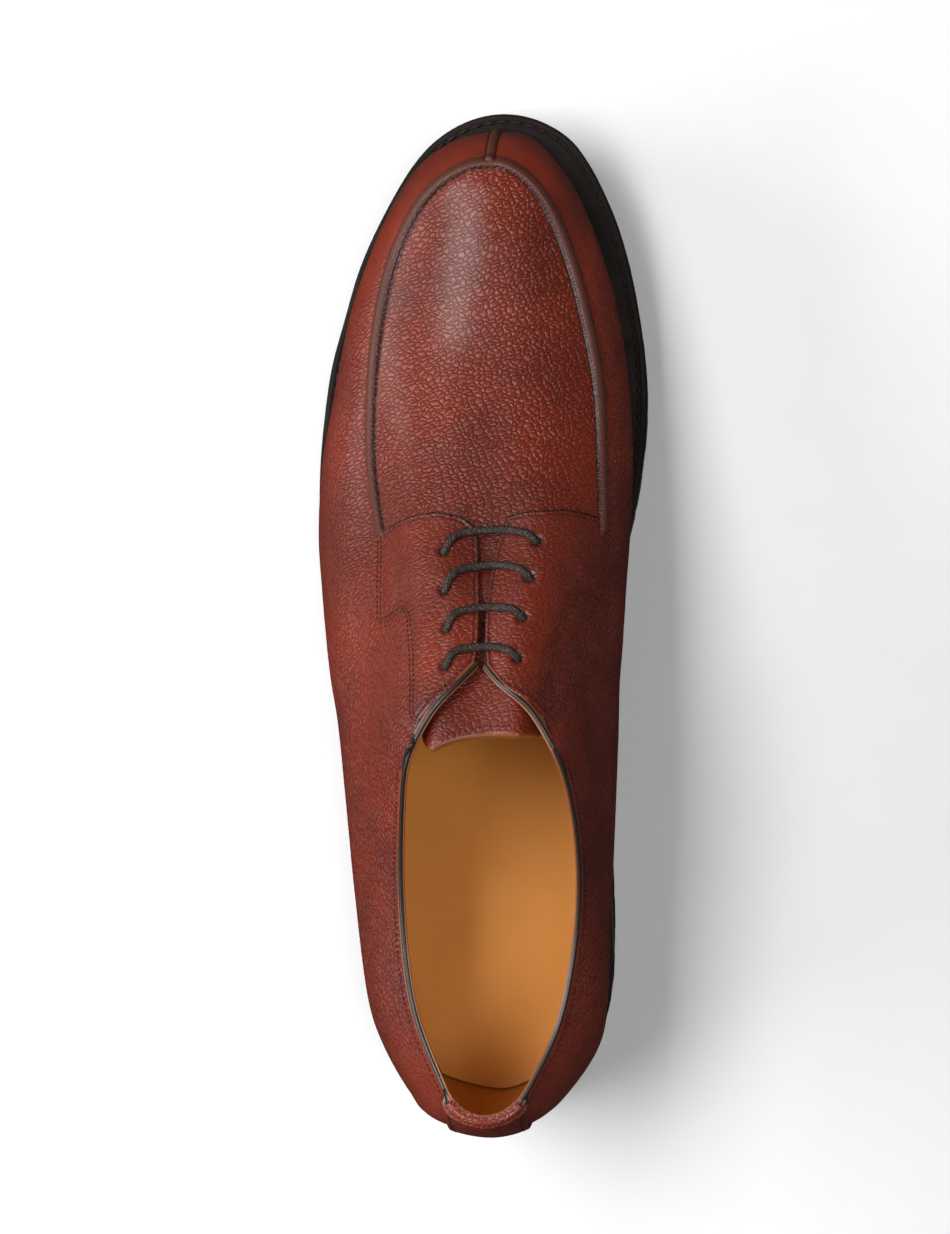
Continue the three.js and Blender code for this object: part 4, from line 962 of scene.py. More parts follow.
# %% [markdown]
# The skin and the lining are both closed walls: an outer grid, an inner one a wall's thickness below it,
# and a rounded strip over the top edge. Where the two sides meet along the instep there is no edge, so no
# strip either.
# %% Skin, lining and top edge
def shell_between(outer, inner, edge_steps, joined):
    """Points and faces of a closed wall: the outer grid, a rounded strip over its last row and down to the
    inner grid, whose rows run back to the first. Joined columns meet the other side and have no strip."""
    c = len(outer)
    last_out, last_in = outer[:, -1], inner[:, 0]
    middle, half = (last_out + last_in) / 2, (last_out - last_in) / 2
    away = unit(outer[:, -1] - outer[:, -2])
    turn = np.linspace(0, np.pi, edge_steps + 2)[1:-1]
    radius = np.linalg.norm(half, axis=1)[:, None, None]
    strip = middle[:, None] + half[:, None] * np.cos(turn)[None, :, None] + away[:, None] * radius * np.sin(
        turn)[None, :, None]
    everything = np.concatenate([outer, strip, inner], axis=1)
    faces = grid_faces(c, everything.shape[1], close_columns=True, close_rows=True)
    on_edge = np.zeros((c, everything.shape[1]), bool)
    on_edge[:, outer.shape[1] - 1:outer.shape[1] + edge_steps] = True
    return everything, faces[~(on_edge & (joined & np.roll(joined, -1))[:, None]).ravel()]


inside_rows = np.linspace(row_count - 1, 0, 24).astype(int)
skin_back = (points - normals * SKIN)[:, inside_rows]
skin_points, skin_faces = shell_between(outer_skin, skin_back, 4, on_spine)
edge_mark = np.zeros(skin_points.shape[:2])
open_edge = (rows[:, -1] < 4.999) | (where[:, -1] < SPINE_SECTION - 0.001)
edge_mark[:, row_count:row_count + 4] = open_edge[:, None]
edge_mark[:, row_count - 2:row_count] = open_edge[:, None] * np.array([0.5, 1.0])
marks = {"edge": edge_mark, "seam": edge_mark * 0, "bead": edge_mark * 0, "grain": edge_mark * 0 + 0.5}
for key, values in (("seam", seam_shade), ("bead", bead_mark), ("grain", grain_depth)):
    marks[key][:, :row_count] = values
make_piece("upper_skin", skin_points, [skin_faces], CHESTNUT, ["upper"], marks)

lining_rows = np.linspace(0, row_count - 2, 40).astype(int)
lining_out = (points - normals * (SKIN + 0.05))[:, lining_rows]
lining_in = (points - normals * LINED)[:, lining_rows[::-1]]
lining_points, lining_faces = shell_between(lining_out, lining_in, 3, on_spine)
# The lining under the facings takes its deep tone as painted shade.
shade_under_facings = np.broadcast_to((where[:, -1] > 8.0)[:, None] * 1.0, lining_points.shape[:2])
make_piece("upper_lining", lining_points, [lining_faces], TAN_LINING, (),
           {"edge": shade_under_facings, "seam": shade_under_facings * 0})

# %% [markdown]
# ## Facings
# Each facing is a flat pattern piece laid over the instep. Its four edges are drawn in the plan: the
# front edge, the slit over the tongue, the short edge that carries the collar on, and the stitched seam
# round the outside. A patch stretched between four edges fills it, and every point is then laid on the
# last and lifted by the leather's thickness, with the rim rounded over.
# %% Facing patterns
FACINGS = {
    # edges as places along the sole and mm from the throat's centre line, each from the front onwards
    "facing_outer": {
        "front": [(0.5822, -32.7), (0.589, -27.4), (0.593, -23), (0.597, -15.3), (0.592, -7.7),
                  (0.581, -3.3)],
        "slit": [(0.581, -3.3), (0.555, -2.4), (0.516, -1.4), (0.471, -0.6), (0.452, -0.5)],
        "rear": [(0.405, -15.4), (0.419, -11.3), (0.432, -6.1), (0.452, -0.5)],
        "seam": [(0.5822, -32.7), (0.498, -31.2), (0.512, -23.3), (0.501, -21.1), (0.466, -19.3),
                 (0.423, -17.7), (0.409, -17.2), (0.405, -15.4)],
    },
    "facing_inner": {
        "front": [(0.5935, 33), (0.597, 27.6), (0.599, 21), (0.5965, 9.7), (0.592, 5.6)],
        "slit": [(0.592, 5.6), (0.564, 2.8), (0.537, 1.2), (0.506, 0.5), (0.471, 0.2), (0.452, 0.2)],
        "rear": [(0.405, 16.8), (0.419, 13.0), (0.429, 6.6), (0.442, 1.8), (0.452, 0.2)],
        "seam": [(0.5935, 33), (0.5125, 33.5), (0.5235, 29.5), (0.521, 24.3), (0.505, 21.6), (0.468, 18.1),
                 (0.437, 16.9), (0.423, 17.4), (0.410, 18.2), (0.405, 16.8)],
    },
}
HOLES = np.array([
    (0.5590, -12.4, 0.5680, 14.2), (0.5225, -11.4, 0.5340, 12.6),
    (0.4880, -10.2, 0.4980, 11.0), (0.4540, -9.8, 0.4610, 10.1),
])


def plan_points(rows):
    """Places along the sole and mm from the throat's centre line, as plan coordinates."""
    rows = np.asarray(rows, float)
    return np.stack([THROAT_CENTRE + rows[:, 1], rows[:, 0] * SOLE_LENGTH], axis=1)


def drawn_line(corners, count, softness=1.4):
    """A pattern line: straight between its corners, with each corner rounded by averaging along the line."""
    line = resample(corners, 600)
    width = max(3, int(softness * 2 / (arc_length(line)[-1] / 600)) | 1)
    window = np.hanning(width + 2)[1:-1]
    window /= window.sum()
    before = 2 * line[0] - line[1:width // 2 + 1][::-1]
    after = 2 * line[-1] - line[-width // 2:-1][::-1][:width // 2]
    padded = np.vstack([before, line, after])
    soft = np.stack([np.convolve(padded[:, k], window, mode="valid") for k in (0, 1)], axis=1)
    return resample(soft[:600], count)


def stretched_patch(front, rear, seam, slit):
    """A patch between four edges: the two pairs of edges blended, less the blend of the four corners."""
    s = np.linspace(0, 1, len(front))[:, None, None]
    t = np.linspace(0, 1, len(seam))[None, :, None]
    pairs = (1 - t) * front[:, None] + t * rear[:, None] + (1 - s) * seam[None] + s * slit[None]
    at_front = (1 - s) * front[0] + s * front[-1]
    at_rear = (1 - s) * rear[0] + s * rear[-1]
    return pairs - (1 - t) * at_front - t * at_rear


def edge_distance(plan, outline):
    """Distance of every plan point from an outline, as the nearest of the outline's close points."""
    flat = plan.reshape(-1, 2)
    nearest = [np.sqrt(((part[:, None] - outline[None]) ** 2).sum(axis=2).min(axis=1))
               for part in np.array_split(flat, max(1, len(flat) // 2000))]
    return np.concatenate(nearest).reshape(plan.shape[:-1])


def sheet_shell(plan, lift, thickness):
    """A closed sheet over a patch of the plan: its top lifted by an array of heights, its back below it."""
    base, normals = lay_on_form(plan)
    top = base + normals * lift[..., None]
    back = base + normals * (lift - thickness)[..., None]
    n, m = plan.shape[:2]
    faces = [grid_faces(n, m, flip=True), grid_faces(n, m, start=n * m)]
    ring = border_numbers(n, m)
    onward = np.roll(ring, -1)
    faces.append(np.stack([ring, onward, onward + n * m, ring + n * m], axis=1))
    return np.concatenate([top.reshape(-1, 3), back.reshape(-1, 3)]), faces


def border_numbers(n, m):
    """Point numbers round the border of a grid, once round."""
    numbers = np.arange(n * m).reshape(n, m)
    return np.concatenate([numbers[:-1, 0], numbers[-1, :-1], numbers[:0:-1, -1], numbers[0, :0:-1]])


def inset_line(line, distance):
    """A plan line moved sideways, to the left of its own direction for a positive distance."""
    heading = unit(np.gradient(line, axis=0))
    return line + distance * np.stack([-heading[:, 1], heading[:, 0]], axis=1)


FACING_LIFT = 1.75
FACING_LINES = {}


def closer_at_ends(count, share):
    """Numbers from 0 to 1 that lie closer together at both ends: a share of a half cosine, the rest even."""
    even = np.linspace(0, 1, count)
    return share * (0.5 - 0.5 * np.cos(np.pi * even)) + (1 - share) * even


def pick(line, at):
    """Points of a line at shares of the number of its points."""
    numbers = np.linspace(0, 1, len(line))
    return np.stack([np.interp(at, numbers, line[:, k]) for k in (0, 1)], axis=1)


def facing_height(off_seam):
    """Height of a facing over the form: flush along the stitched seam, its full thickness further in."""
    return 0.12 + (FACING_LIFT - 0.12) * smooth(off_seam, -1.0, 12.0)


for name, edges in FACINGS.items():
    lines = {key: drawn_line(plan_points(rows), 70 if key in ("front", "rear") else 120)
             for key, rows in edges.items()}
    FACING_LINES[name] = lines
    hand = 1 if name == "facing_outer" else -1
    rear = inset_line(lines["rear"], RIM_WIDTH * hand)
    lines["rear"] = rear
    for key in ("seam", "slit"):
        reach = np.linspace(0, 1, len(lines[key]))[:, None] ** 6
        lines[key] = lines[key] + reach * ((rear[0] if key == "seam" else rear[-1]) - lines[key][-1])
    # Rows come closer together at the edges, where the rim is rounded
    across, along_it = closer_at_ends(90, 0.55), closer_at_ends(130, 0.45)
    patch = stretched_patch(pick(lines["front"], across), pick(lines["rear"], across),
                            pick(lines["seam"], along_it), pick(lines["slit"], along_it))
    open_edge = resample(np.vstack([lines["front"], lines["slit"][1:], lines["rear"][::-1][1:]]), 700)
    off_open = edge_distance(patch, open_edge)
    off_seam = edge_distance(patch, resample(lines["seam"], 500))
    half = HOLES[:, :2] if name == "facing_outer" else HOLES[:, 2:]
    from_hole = edge_distance(patch, plan_points(half))
    lift = facing_height(off_seam)
    lift -= 0.8 * lift / FACING_LIFT * (1 - np.sqrt(1 - (1 - np.clip(off_open / 0.8, 0, 1)) ** 2))
    lift -= 0.9 * np.exp(-(from_hole / 1.8) ** 4) + 0.18 * np.exp(-((off_open - 1.4) / 0.35) ** 2)
    sheet, faces = sheet_shell(patch, lift, np.minimum(1.5, lift + 0.3))
    off_front = edge_distance(patch, resample(lines["front"], 400))
    off_slit = edge_distance(patch, resample(lines["slit"], 400))
    # Dark edge paint along the slit and the front edge; along the front it is widened into a line of painted
    # shade under the edge, and a dark disc round each lace hole is painted shade in place of the hole.
    facing_paint_and_shade = np.maximum(np.clip(1.2 - off_slit / 0.45, 0, 1), np.clip(1.2 - off_front / 1.0, 0, 1))
    facing_paint_and_shade = np.maximum(facing_paint_and_shade, np.exp(-(from_hole / 1.6) ** 4))
    # Painted shade in the stitch grooves beside the open edges and along the seam
    facing_groove_shade = 0.5 * np.exp(-((off_open - 1.4) / 0.35) ** 2) + 0.25 * np.exp(-((off_seam - 0.9) / 0.7) ** 2)
    make_piece(name + "_leather", sheet, faces, CHESTNUT, [name],
               {"edge": np.concatenate([facing_paint_and_shade.ravel(), np.ones(facing_paint_and_shade.size)]),
                "seam": np.tile(np.clip(facing_groove_shade, 0, 1).ravel(), 2),
                "bead": np.zeros(2 * facing_paint_and_shade.size), "grain": np.full(2 * facing_paint_and_shade.size, 0.75)})

# %% [markdown]
# ## Tongue
# The tongue lies under the throat and shows between the facings and in front of the opening, where its
# top edge is cut raw and shows the tan of the leather's core.
# %% Tongue
FORM_ENDS = 138.0                       # mm along the sole where the tongue leaves the form and bends level
TONGUE_SLOPE, TONGUE_BEND, TONGUE_CURL = 0.60, 0.0072, 0.05


def tongue_surface(plan):
    """The form in front of a line across the instep; behind it the form's height there, carried on with its
    slope, which fades as the distance grows."""
    held = plan.copy()
    held[..., 1] = np.maximum(plan[..., 1], FORM_ENDS)
    base, normals = lay_on_form(held)
    behind = FORM_ENDS - np.minimum(plan[..., 1], FORM_ENDS)
    base[..., 1] -= behind
    curl = np.maximum(0, np.abs(plan[..., 0] - THROAT_CENTRE) - 12.0) ** 2 * smooth(behind, 0, 16)
    base[..., 2] += TONGUE_SLOPE * behind - TONGUE_BEND * behind ** 2 - TONGUE_CURL * curl
    return base, normals


TONGUE_LEFT, TONGUE_RIGHT, CORNER = -17.0, 25.0, 6.0
across = np.linspace(TONGUE_LEFT, TONGUE_RIGHT, 110)
in_corner = np.clip((TONGUE_LEFT + CORNER - across) / CORNER, 0, 1)
top_line = 124.4 - 0.0105 * (across - 8.0) ** 2 + CORNER * (1 - np.sqrt(1 - in_corner ** 2))
top_edge = np.stack([across, top_line], axis=1)
front_edge = np.stack([across, np.full(len(across), 187.0)], axis=1)
t = (np.linspace(0, 1, 140) ** 1.2)[None, :, None]
tongue_plan = top_edge[:, None] * (1 - t) + front_edge[:, None] * t
from_top = tongue_plan[..., 1] - top_edge[:, 1][:, None]
base, normals = tongue_surface(tongue_plan)
slack = 1.5 * smooth(tongue_plan[..., 1], 150, 128) + 0.5 * (1 - np.clip(from_top / 0.8, 0, 1)) ** 2
depth = UPPER_WALL + GAP + slack
# Under the slit the tongue comes up to the vamp's own surface, of which it is cut in one piece
in_slit = 1 - smooth(np.abs(tongue_plan[..., 0] - THROAT_CENTRE), 3.0, 7.0)
in_slit *= smooth(tongue_plan[..., 1], 155, 164) * (1 - smooth(tongue_plan[..., 1], 168.3, 171))
depth = depth * (1 - in_slit) + 0.12 * in_slit
top = base - normals * depth[..., None]
normals_on_tongue = normals
back = top - normals * (TONGUE - 0.3)
n, m = tongue_plan.shape[:2]
ring = border_numbers(n, m)
tongue_faces = [grid_faces(n, m, flip=True), grid_faces(n, m, start=n * m),
                np.stack([ring, np.roll(ring, -1), np.roll(ring, -1) + n * m, ring + n * m], axis=1)]
raw = np.clip(1.5 - from_top / 0.4, 0, 1)
tongue_points = np.concatenate([top.reshape(-1, 3), back.reshape(-1, 3)])
make_piece("tongue_leather", tongue_points, tongue_faces, CHESTNUT, ["tongue"],
           {"edge": np.zeros(2 * raw.size), "seam": np.zeros(2 * raw.size), "bead": np.zeros(2 * raw.size),
            "grain": np.concatenate([0.6 * (1 - raw.ravel()), np.zeros(raw.size)]),
            "raw": np.concatenate([0.85 * raw.ravel(), np.ones(raw.size)])})

# %% [markdown]
# ## Collar
# All round the opening the leather's cut edge is painted dark and the lining's edge shows inside it as a
# thin tan line. It is one band: a small profile carried along one line, which runs from the slit up the
# short edge of a facing, round the heel and back along the other side.
# %% Collar band
def softened(line, reach):
    """An open line averaged with its neighbours along the way, its ends kept."""
    window = np.hanning(2 * reach + 3)[1:-1]
    window /= window.sum()
    before = 2 * line[0] - line[1:reach + 1][::-1]
    after = 2 * line[-1] - line[-reach - 1:-1][::-1]
    padded = np.vstack([before, line, after])
    return np.stack([np.convolve(column, window, mode="valid") for column in padded.T], axis=1)


JOIN_GAP, JOIN_CUT = 3.0, 18            # mm and points left out where a facing's edge meets the top line


def collar_half(side):
    """Line and outward directions of half the collar, from the slit's end to the middle of the heel."""
    lines = FACING_LINES["facing_outer" if side < 0 else "facing_inner"]
    rear = lines["rear"][::-1]
    base, normals = lay_on_form(rear)
    line = base + normals * facing_height(edge_distance(rear, resample(lines["seam"], 500)))[:, None]
    place = np.linspace(6.95, 0, 220)
    row = opening_row(side, place)
    top = single(side, place, row)
    kept = top[:, 1] < rear[-1, 1] - JOIN_GAP
    around = form_normals(side, place[kept], row[kept])
    return np.vstack([line[:-JOIN_CUT], top[kept]]), np.vstack([normals[:-JOIN_CUT], around])


halves = [collar_half(side) for side in (-1, 1)]
collar_line = np.vstack([halves[0][0], halves[1][0][::-1][1:]])
collar_normals = np.vstack([halves[0][1], halves[1][1][::-1][1:]])
spaced = resample(np.hstack([collar_line, collar_normals]), 900)
collar_line, collar_normals = softened(spaced[:, :3], 38), unit(softened(spaced[:, 3:], 60))
heading = unit(np.gradient(collar_line, axis=0))
inward = unit(np.cross(heading, collar_normals))
lean = np.where(inward[len(inward) // 2, 1] > 0, 1.0, -1.0)
inward *= lean
# The raw share on the outer lip lightens it towards tan: a painted highlight along the turned edge.
BAND = np.array([
    # mm inwards, mm proud, painted share, raw share
    (-0.95, -0.35, 0.0, 0.2), (-0.86, 0.06, 0.0, 0.2), (-0.65, 0.20, 0.0, 0.25), (-0.30, 0.20, 0.0, 0.3),
    (-0.08, 0.08, 0.6, 0.2), (0.10, 0.18, 1.0, 0.0), (0.45, 0.27, 1.0, 0.0), (0.80, 0.18, 1.0, 0.0),
    (1.05, -0.05, 1.0, 0.0), (1.14, -0.35, 1.0, 0.0), (1.12, -0.58, 0.6, 0.3), (1.30, -0.66, 0.0, 1.0),
    (1.42, -0.86, 0.0, 1.0), (1.34, -1.12, 0.0, 1.0), (0.9, -1.3, 0.0, 1.0), (0.0, -1.3, 0.0, 1.0),
    (-0.7, -0.9, 0.0, 1.0),
])
band_points = (collar_line[:, None] + inward[:, None] * BAND[None, :, :1]
               + collar_normals[:, None] * BAND[None, :, 1:2])
shape = band_points.shape[:2]
off_heel = np.where(collar_line[:, 1] < 40, np.abs(collar_line[:, 0] - HEEL_CENTRE), 99.0)
beside_strip = smooth(off_heel, 10.3, 11.3)
make_piece("collar_band", band_points, [grid_faces(*shape, close_rows=True, flip=bool(lean < 0))], CHESTNUT,
           (), {"edge": BAND[:, 2] * beside_strip[:, None], "seam": np.zeros(shape),
                                 "raw": np.broadcast_to(BAND[:, 3], shape), "bead": np.zeros(shape),
                                 "grain": np.zeros(shape)}, sharp=75)

# %% [markdown]
# ## Back strip
# A strip of the same leather covers the seam at the back of the heel, with a row of stitches along both
# edges. Here the form stands upright, so the search for a place on it goes by side and height instead of
# by the plan.
# %% Back strip
def lay_on_heel(front_view):
    """Points and outward directions of the form behind points given by side and height."""
    flat = np.asarray(front_view).reshape(-1, 2)
    points, normals = np.zeros((len(flat), 3)), np.zeros((len(flat), 3))
    for side in (-1, 1):
        mine = (flat[:, 0] > HEEL_CENTRE) == (side > 0)
        if not mine.any():
            continue
        place, row = search_form(side, flat[mine], (0, 2), (0.0, 2.6), (0.0, 5.0))
        points[mine] = single(side, place, row)
        normals[mine] = form_normals(side, place, row)
    shape = np.asarray(front_view).shape[:-1] + (3,)
    return points.reshape(shape), normals.reshape(shape)


HALF_STRIP = 11.5
low_edge, high_edge = 31.5, 91.0
across = HEEL_CENTRE + HALF_STRIP * np.sin(np.linspace(-np.pi / 2, np.pi / 2, 48))
top_drop = 0.02 * (across - HEEL_CENTRE) ** 2
heights = np.linspace(0, 1, 90)
strip_view = np.stack(np.broadcast_arrays(
    across[:, None], low_edge + (high_edge - 0.6 - top_drop[:, None] - low_edge) * heights[None]), axis=2)
base, normals = lay_on_heel(strip_view)
off = np.minimum(HALF_STRIP - np.abs(across - HEEL_CENTRE)[:, None], (1 - heights)[None] * 60)
lift = 1.25 - 0.9 * (1 - np.sqrt(1 - (1 - np.clip(off / 0.9, 0, 1)) ** 2))
lift -= 0.15 * np.exp(-((off - 1.9) / 0.4) ** 2)
n, m = strip_view.shape[:2]
strip_faces = [grid_faces(n, m), grid_faces(n, m, start=n * m, flip=True)]
ring = border_numbers(n, m)
strip_faces.append(np.stack([ring, ring + n * m, np.roll(ring, -1) + n * m, np.roll(ring, -1)], axis=1))
strip_points = np.concatenate([(base + normals * lift[..., None]).reshape(-1, 3),
                               (base - normals * 0.1).reshape(-1, 3)])
mark = np.clip(1.2 - off / 0.35, 0, 1) * 0.8
# The strip's rim takes dark edge paint; its seam values are painted shade in the stitch grooves.
make_piece("back_strip_leather", strip_points, strip_faces, CHESTNUT, ["back_strip"],
           {"edge": np.tile(mark.ravel(), 2),
            "seam": np.tile(0.5 * np.exp(-((off - 1.9) / 0.6) ** 2).ravel(), 2),
            "bead": np.zeros(2 * mark.size), "grain": np.full(2 * mark.size, 0.6)})

# %% [markdown]
# The strip's upper end is turned over the top edge and shows inside as a raw tan line. It is a rounded
# profile carried along the same collar line, with both of its ends drawn together.
# %% Strip turned over the edge
WRAP = np.array([
    # mm upwards, mm outwards, raw share
    (-2.5, 1.0, 0), (-2.45, 1.5, 0), (-2.1, 1.72, 0), (-1.4, 1.70, 0), (-0.5, 1.72, 0), (0.3, 1.66, 0),
    (0.95, 1.35, 0), (1.35, 0.75, 0), (1.45, 0.0, 0), (1.42, -0.7, 0.1), (1.55, -1.1, 1), (1.35, -1.5, 1),
    (0.8, -1.65, 1), (-0.5, -1.6, 1), (-0.6, -1.2, 1),
])
at_heel = (collar_line[:, 1] < 40) & (collar_line[:, 0] > -7.8) & (collar_line[:, 0] < 12.9)
wrap = (collar_line[at_heel, None] + inward[at_heel, None] * WRAP[None, :, :1]
        + collar_normals[at_heel, None] * WRAP[None, :, 1:2])
middle = wrap.mean(axis=1, keepdims=True)
drawn = np.ones(len(wrap))
drawn[[0, 1, -2, -1]] = (0.0, 0.9, 0.9, 0.0)
wrap = middle + (wrap - middle) * drawn[:, None, None]
# A line of painted shade where the fold's lower edge tucks into the strip
shade_line_below = np.exp(-((np.arange(len(WRAP)) - 0.5) / 0.9) ** 2)
make_piece("heel_wrap", wrap, [grid_faces(*wrap.shape[:2], close_rows=True, flip=bool(lean < 0))], CHESTNUT,
           (), {"edge": np.zeros(wrap.shape[:2]), "bead": np.zeros(wrap.shape[:2]),
                                 "seam": np.broadcast_to(shade_line_below, wrap.shape[:2]),
                                 "raw": np.broadcast_to(0.9 * WRAP[:, 2], wrap.shape[:2]),
                                 "grain": np.full(wrap.shape[:2], 0.7)}, sharp=75)

# %% [markdown]
# ## Stitches
# A stitch is a short grain of thread that dips into the leather at both ends. One is worked out as a
# small grid, and whole seams are copies of it, set along a line at equal distances and turned by the line
# and the leather's own direction. All are computed at once.
# %% Stitch maker
STITCH_RINGS, STITCH_SIDES = 7, 6        # a stitch has only a few dozen faces, because there are hundreds


def stitch_row(line, normals, pitch, length, radius):
    """Points and faces of stitches along a line: each a tube whose radius falls to nothing at both ends and
    whose middle stands proud by most of its radius."""
    total = arc_length(line)[-1]
    count = max(2, int(round(total / pitch)))
    at = (np.arange(count) + 0.5) / count * total
    length_along = arc_length(line)
    centre = np.stack([np.interp(at, length_along, line[:, k]) for k in range(3)], axis=1)
    normal = unit(np.stack([np.interp(at, length_along, normals[:, k]) for k in range(3)], axis=1))
    ahead = np.stack([np.interp(at + 0.2, length_along, line[:, k]) for k in range(3)], axis=1)
    behind = np.stack([np.interp(at - 0.2, length_along, line[:, k]) for k in range(3)], axis=1)
    heading = unit(ahead - behind)
    across = unit(np.cross(heading, normal))
    a = np.linspace(-1, 1, STITCH_RINGS)
    round_it = np.arange(STITCH_SIDES) / STITCH_SIDES * 2 * np.pi
    thick = radius * np.sqrt(np.maximum(1 - np.abs(a) ** 3, 0.02))
    bow = radius * (0.75 - 1.5 * a ** 4)
    x = (a * length / 2)[:, None] + 0 * round_it
    y = thick[:, None] * np.cos(round_it)
    z = bow[:, None] + thick[:, None] * np.sin(round_it)
    points = (centre[:, None, None] + x[None, ..., None] * heading[:, None, None]
              + y[None, ..., None] * across[:, None, None] + z[None, ..., None] * normal[:, None, None])
    one = grid_faces(STITCH_RINGS, STITCH_SIDES, close_rows=True)
    first = np.arange(count) * STITCH_RINGS * STITCH_SIDES
    faces = (one[None] + first[:, None, None]).reshape(-1, 4)
    return points.reshape(-1, 3), faces


def sew(name, rows, material):
    """Joins several rows of stitches, each (line, directions, pitch, length, radius), into one piece."""
    points, faces, start = [], [], 0
    for row in rows:
        part, part_faces = stitch_row(*row)
        points.append(part)
        faces.append(part_faces + start)
        start += len(part)
    points = np.concatenate(points)
    marks = {"edge": np.zeros(len(points)), "seam": np.zeros(len(points))}
    return make_piece(name, points, faces, material, (), marks, sharp=80, merge=1e-4)


def seam_on_facing(line, inward, lift):
    """A plan line inside a facing's edge, laid on the last at the facing's height."""
    moved = inset_line(line, inward)
    base, normals = lay_on_form(moved)
    return base + normals * lift, normals


FINE = (1.7, 1.25, 0.15)                 # pitch, length and radius of the closing stitches, mm
facing_rows = []
for name, hand in (("facing_outer", 1), ("facing_inner", -1)):
    lines = FACING_LINES[name]
    for inward in (0.4, 1.5):
        line, normals = seam_on_facing(resample(lines["seam"], 300), -inward * hand, 0.16)
        facing_rows.append((line[4:-2], normals[4:-2], *FINE))
    line, normals = seam_on_facing(resample(np.vstack([lines["slit"], lines["rear"][::-1][1:]]), 300),
                                   -1.4 * hand, FACING_LIFT - 0.2)
    facing_rows.append((line[10:-6], normals[10:-6], *FINE))
for x in (30.4, 31.9):                   # a bar of two short rows holds the inner facing's front corner
    base, normals = lay_on_form(np.stack([np.full(40, x), np.linspace(175.2, 181.2, 40)], axis=1))
    facing_rows.append((base + normals * 0.35, normals, *FINE))
inside_edge = np.argmin(np.abs(from_top - 2.2), axis=1)
edge_row = top[np.arange(len(top)), inside_edge][3:-1]
facing_rows.append((softened(edge_row, 5), normals_on_tongue[np.arange(len(top)), inside_edge][3:-1], *FINE))
sew("facing_stitches", facing_rows, BROWN_THREAD)

# %% [markdown]
# The apron's stitches sit in the groove beside the bead, the collar's a little below its band, and the
# back strip's along both of its edges.
# %% Seams of the upper
def along_row(offset, first, last, lift):
    """A line on the skin at an offset in mm from the apron seam, from one side round to the other."""
    line, directions = [], []
    for side in (-1, 1):
        place = np.linspace(first, last, 160)
        ghost = section_points(side, place)
        pace = np.linalg.norm(ghost[:, 5] - ghost[:, 3], axis=1) / 2
        row = 3 + offset / pace
        line.append(single(side, place, row))
        directions.append(form_normals(side, place, row))
    line = np.vstack([line[0], line[1][::-1][1:]])
    directions = np.vstack([directions[0], directions[1][::-1][1:]])
    return line + directions * lift, directions


apron_line, apron_normals = along_row(1.9, 11.25, 18.98, -0.52)
apron_rows = [(apron_line, apron_normals, 2.1, 1.4, 0.2)]

collar_base, collar_dir = [], []
for side in (-1, 1):
    place = np.linspace(0.0, 6.7, 260)
    ghost = section_points(side, place)
    down = np.linalg.norm(ghost[:, 6] - ghost[:, 5], axis=1)
    row = opening_row(side, place) - 2.3 / down
    collar_base.append(single(side, place, row))
    collar_dir.append(form_normals(side, place, row))
collar_sewn = np.vstack([collar_base[0][::-1], collar_base[1][1:]])
collar_out = np.vstack([collar_dir[0][::-1], collar_dir[1][1:]])
apron_rows.append((collar_sewn, collar_out, *FINE))

strip_rows = []
for inward in (-HALF_STRIP + 1.9, HALF_STRIP - 1.9):
    view = np.stack([np.full(120, HEEL_CENTRE + inward), np.linspace(33, 87.5, 120)], axis=1)
    base, normals = lay_on_heel(view)
    strip_rows.append((base + normals * 1.1, normals, *FINE))
sew("upper_stitches", apron_rows + strip_rows, THREAD)

# %% [markdown]
# ## Lace
# One round waxed lace runs up through a hole, over the throat and down through the hole on the other
# side, then under the facing to the next pair. The bars bow towards the toe as in the photograph. The
# hidden ends stop under the top pair of holes. The whole run is one smooth line with a tube round it.
# %% Lace
LACE_BOWS = (3.9, 4.5, 3.4, 3.3)          # mm, front bar first
LACE_DRAWN = 0.93                        # share of its loose diameter that the tight cord keeps
BOW_SHAPE = np.array([
    # share of the way from the outer hole to the inner one, share of the bow
    (0, 0), (0.07, 0.60), (0.143, 0.90), (0.25, 1.0), (0.357, 1.02), (0.47, 1.0), (0.58, 0.94), (0.68, 0.84),
    (0.776, 0.69), (0.9, 0.41), (1, 0),
])


def facing_top(plan):
    """Points on top of the facings, and their directions; over the slit, the height of the two sides."""
    base, normals = lay_on_form(plan)
    return base + normals * FACING_LIFT, normals


def smooth_path(corners, count):
    """An open centripetal curve through its corners, resampled at equal distances."""
    ends = np.vstack([2 * corners[0] - corners[1], corners, 2 * corners[-1] - corners[-2]])
    line = centripetal(ends[:-3], ends[1:-2], ends[2:-1], ends[3:], 24)
    return resample(np.vstack([line, corners[-1:]]), count)


def tube(path, radius, sides, squash=1.0):
    """A tube round a path: rings across the path's direction, turned as little as possible from one to the
    next, with each end drawn in to a point."""
    heading = unit(np.gradient(path, axis=0))
    up = np.tile([0.0, 0.0, 1.0], (len(path), 1))
    across = unit(np.cross(heading, up))
    up = np.cross(across, heading)
    turn = np.arange(sides) / sides * 2 * np.pi
    reach = np.full(len(path), radius)
    reach[[0, -1]] = 0.01
    rings = path[:, None] + reach[:, None, None] * (
        across[:, None] * np.cos(turn)[None, :, None] + squash * up[:, None] * np.sin(turn)[None, :, None])
    return rings, grid_faces(len(path), sides, close_rows=True, flip=True)


